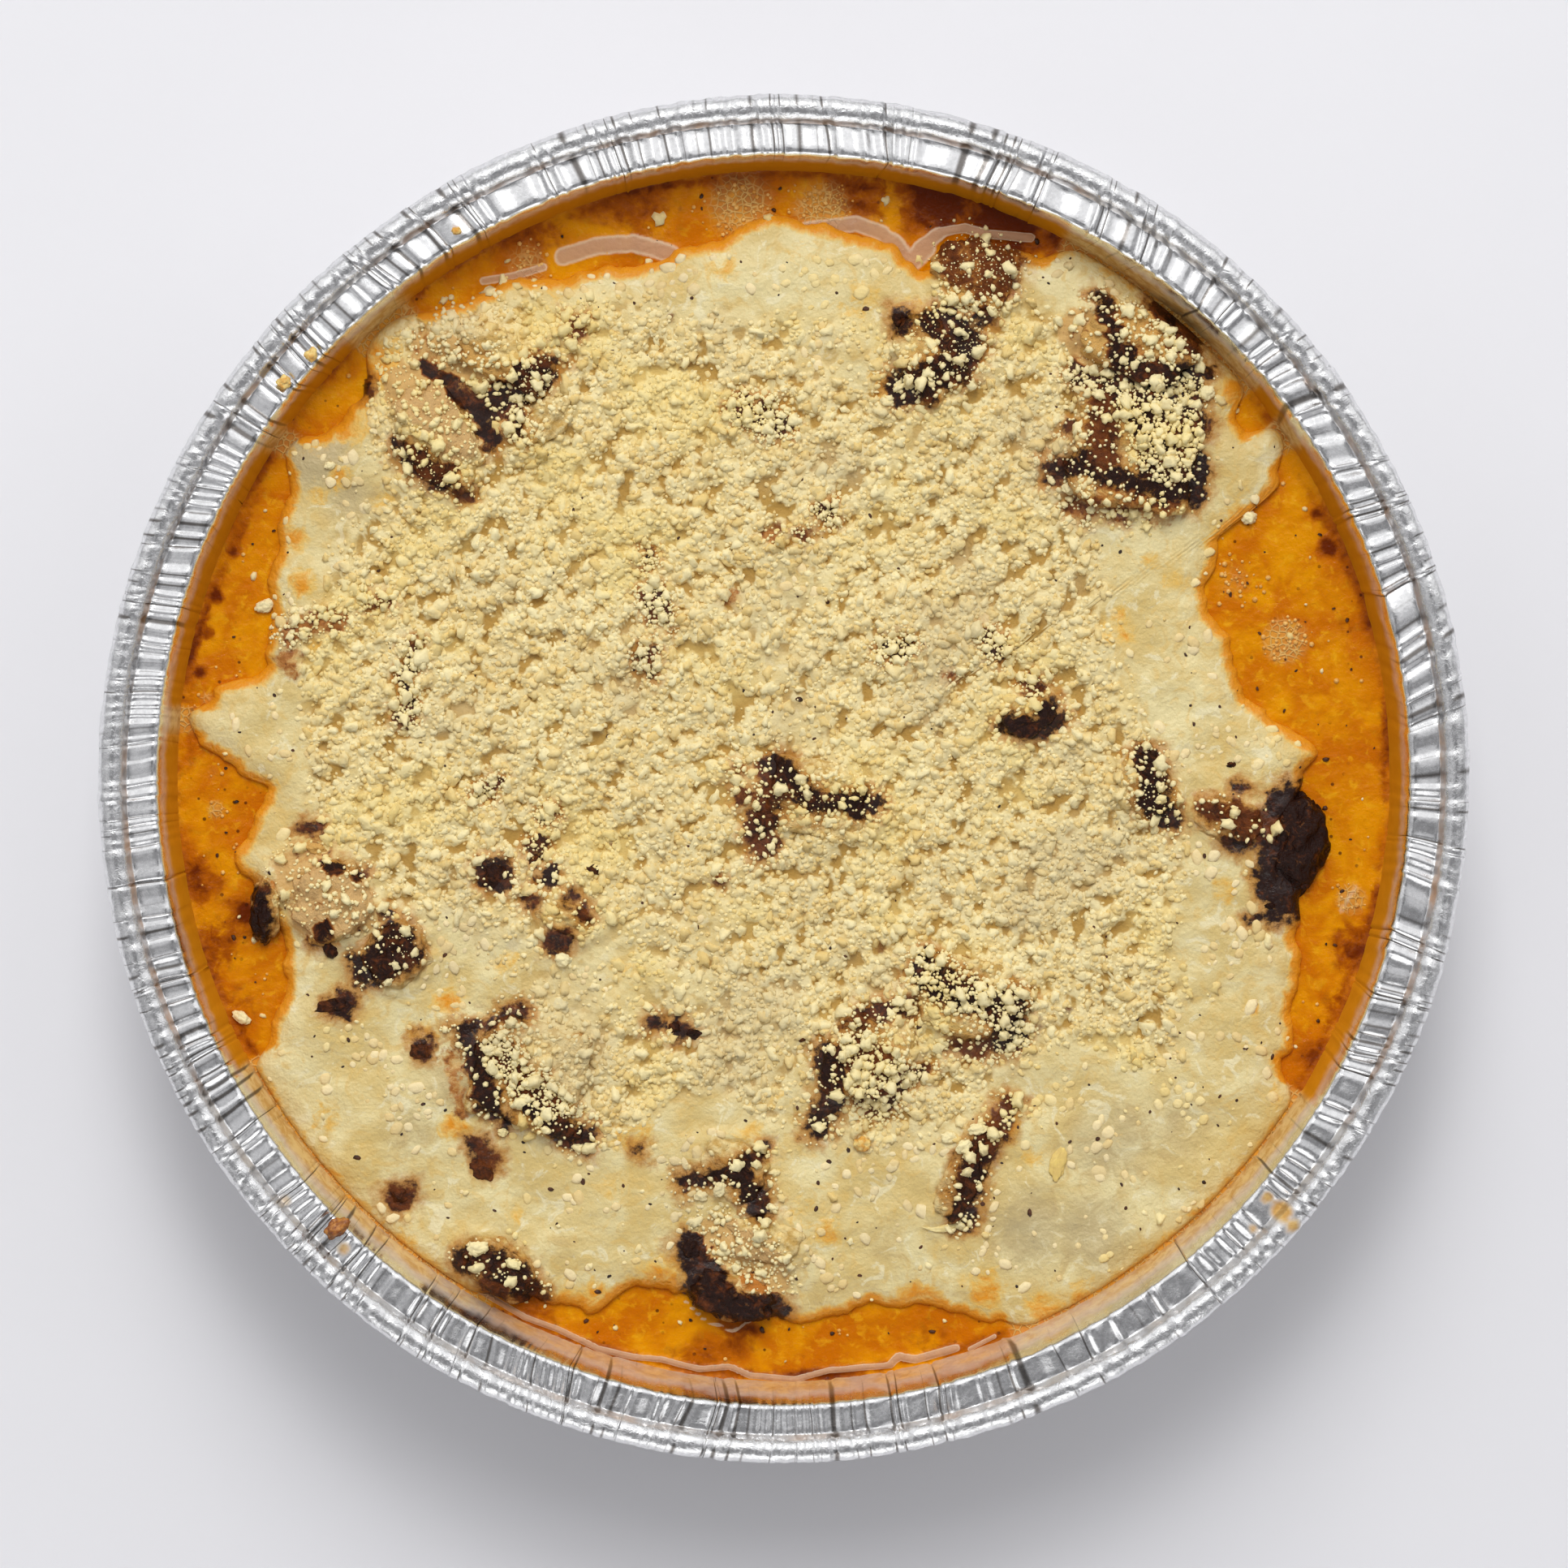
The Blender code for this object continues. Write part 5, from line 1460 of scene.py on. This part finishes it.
def add_lamp(name, width, depth, energy, way):
    """A rectangular lamp that faces the food from as far as way reaches."""
    lamp = bpy.data.lights.new(name, "AREA")
    lamp.shape = "RECTANGLE"
    lamp.size = width
    lamp.size_y = depth
    lamp.energy = energy
    shown = bpy.data.objects.new(name, lamp)
    shown.location = Vector((0, 0, LAMP_AIM)) + way
    shown.rotation_euler = way.to_track_quat("Z", "Y").to_euler()
    bpy.context.scene.collection.objects.link(shown)
    return shown


def add_light():
    """A room that is dim behind and bright in front, a window lamp and a bright card."""
    scene = bpy.context.scene
    scene.view_settings.view_transform = "Standard"
    scene.world = bpy.data.worlds.new("room")
    scene.world.use_nodes = True
    room = Nodes(scene.world.node_tree)
    way = room.node("ShaderNodeTexCoord", output="Generated")
    front = room.node("ShaderNodeSeparateXYZ", None, {0: way}, 1)
    upward = room.node("ShaderNodeSeparateXYZ", None, {0: way}, 2)
    drift = room.node("ShaderNodeTexNoise", None, {"Vector": way, "Scale": 3.2, "Detail": 1.0})
    soft = room.blend(room.span(drift, 0.38, 0.56), (0.13, 0.13, 0.135, 1), (0.67, 0.67, 0.685, 1))
    shade = room.blend(room.span(upward, 0.05, 0.35), (0.22, 0.22, 0.225, 1), soft)
    shade = room.blend(room.span(upward, 0.93, 0.985), shade, (0.10, 0.10, 0.105, 1))
    dim = 0.7 * room.span(front, -0.12, -0.40) * room.span(upward, 0.55, 0.75)
    shade = room.blend(dim, shade, (0.16, 0.16, 0.165, 1))
    panel = room.span(front, 0.12, 0.26) * room.span(upward, 0.12, 0.32)
    shade = room.blend(panel, shade, (0.98, 0.98, 0.99, 1))
    aside = room.node("ShaderNodeSeparateXYZ", None, {0: way}, 0)
    glow = room.span(front, 0.50, 0.54) * room.span(front, 0.68, 0.64)
    glow = glow * room.span(aside * aside, 0.012, 0.006)
    shade = room.blend(glow, shade, (9.0, 9.0, 9.0, 1))
    room.tree.links.new(shade.socket, room.tree.nodes["Background"].inputs["Color"])
    window = add_lamp("window", 0.38, 0.88, 8.9, 1.40 * Vector((-0.03, 0.72, 1.0)).normalized())
    window.visible_glossy = False
    card = add_lamp("card", 1.2, 0.65, 2.6, Vector((0, -0.92, 0.40)))
    card.visible_diffuse = False


def add_floor():
    bm = bmesh.new()
    bmesh.ops.create_grid(bm, x_segments=1, y_segments=1, size=3)
    mesh = bpy.data.meshes.new("floor")
    bm.to_mesh(mesh)
    bm.free()
    floor = bpy.data.objects.new("floor", mesh)
    pale, shaded = (0.845, 0.840, 0.865, 1), (0.835, 0.830, 0.855, 1)
    mesh.materials.append(plain_finish("paper", pale, shaded, 60, 0.8, 2, 0.00002))
    bpy.context.scene.collection.objects.link(floor)


add_camera()
add_light()
add_floor()
foil_tree = build_foil(foil_finish())
build_sauce(sauce_finish())
cream_tree = build_cream(cream_finish())
chunk_finishes = {
    "browned": chunk_finish("browned_crust", srgb(208, 162, 90), 0.22),
    "pale": chunk_finish("pale_crust", srgb(206, 168, 112), 0.40),
    "glossy": chunk_finish("glossy_crust", srgb(190, 120, 50), 0.02),
}
chunk_trees = build_chunks(chunk_finishes)
build_bits(chunk_finishes["browned"])
cheese = grain_finish("grated_cheese", srgb(243, 228, 176), srgb(225, 195, 124), 0.45)
loose_finishes = {
    "cheese": cheese,
    "rind": plain_finish("cheese_rind", srgb(236, 206, 128), srgb(218, 160, 70), 0.8, 0.35, 0.4, 0.0002),
    "burnt": plain_finish("burnt_rind", srgb(196, 132, 62), srgb(128, 66, 22), 0.9, 0.25, 0.4, 0.0002),
    "fleck": plain_finish("yellow_fleck", srgb(234, 204, 118), srgb(222, 190, 112), 1.0, 0.30, 0.4, 0.0001),
    "flake": plain_finish("cheese_flake", srgb(236, 218, 156), srgb(224, 200, 130), 1.2, 0.35, 0.4, 0.0001),
}
build_loose(loose_finishes, cream_tree, foil_tree, chunk_trees)
dice = random.Random(4)
lumps = cheese_seeds(dice, 1.9 * MM, 0.60 * MM, 1.10 * MM, -0.42, 0.8, cream_tree, chunk_trees)
scatter("cheese_lumps", lumps[:MOST_LUMPS], grain_shape("lump", 2, 0.75, 1.0), cheese, "cream")
grains = cheese_seeds(dice, 1.02 * MM, 0.40 * MM, 0.72 * MM, -0.36, 1.0, cream_tree, chunk_trees)
scatter("cheese_grains", grains[:MOST_GRAINS], grain_shape("grain", 1, 0.5, 2.0), cheese, "cream")
crumbs = cheese_seeds(dice, 0.96 * MM, 0.22 * MM, 0.44 * MM, -0.2, 0.70, cream_tree, chunk_trees)
scatter("cheese_crumbs", crumbs[:MOST_GRAINS], grain_shape("crumb", 1, 0.4, 5.0), cheese, "cream")
powder = powder_seeds(dice, cream_tree, chunk_trees)
scatter("cheese_powder", powder[:MOST_GRAINS], grain_shape("powder", 1, 0.4, 6.0), cheese, "cream")
curd_white = grain_finish("melted_curds", srgb(242, 222, 172), srgb(228, 200, 138), 0.16)
curds = curd_seeds(dice, cream_tree, chunk_trees)
scatter("melted_curds", curds[:MOST_LUMPS], grain_shape("curd", 2, 0.25, 7.0), curd_white, "cream")
pepper = plain_finish("pepper", srgb(34, 18, 10), srgb(84, 44, 18), 1.5, 0.4, 0.4, 0.0002)
specks = pepper_seeds(dice, cream_tree, chunk_trees)
scatter("pepper_specks", specks, grain_shape("speck", 1, 0.6, 9.0), pepper, "browned_chunk")
froth = plain_finish("froth", srgb(236, 190, 110), srgb(214, 150, 60), 1.2, 0.08, 0.5, 0.0001)
foam = foam_seeds(dice)
scatter("foam_bubbles", foam[:MOST_GRAINS], grain_shape("bubble", 1, 0.0, 3.0), froth, "sauce")
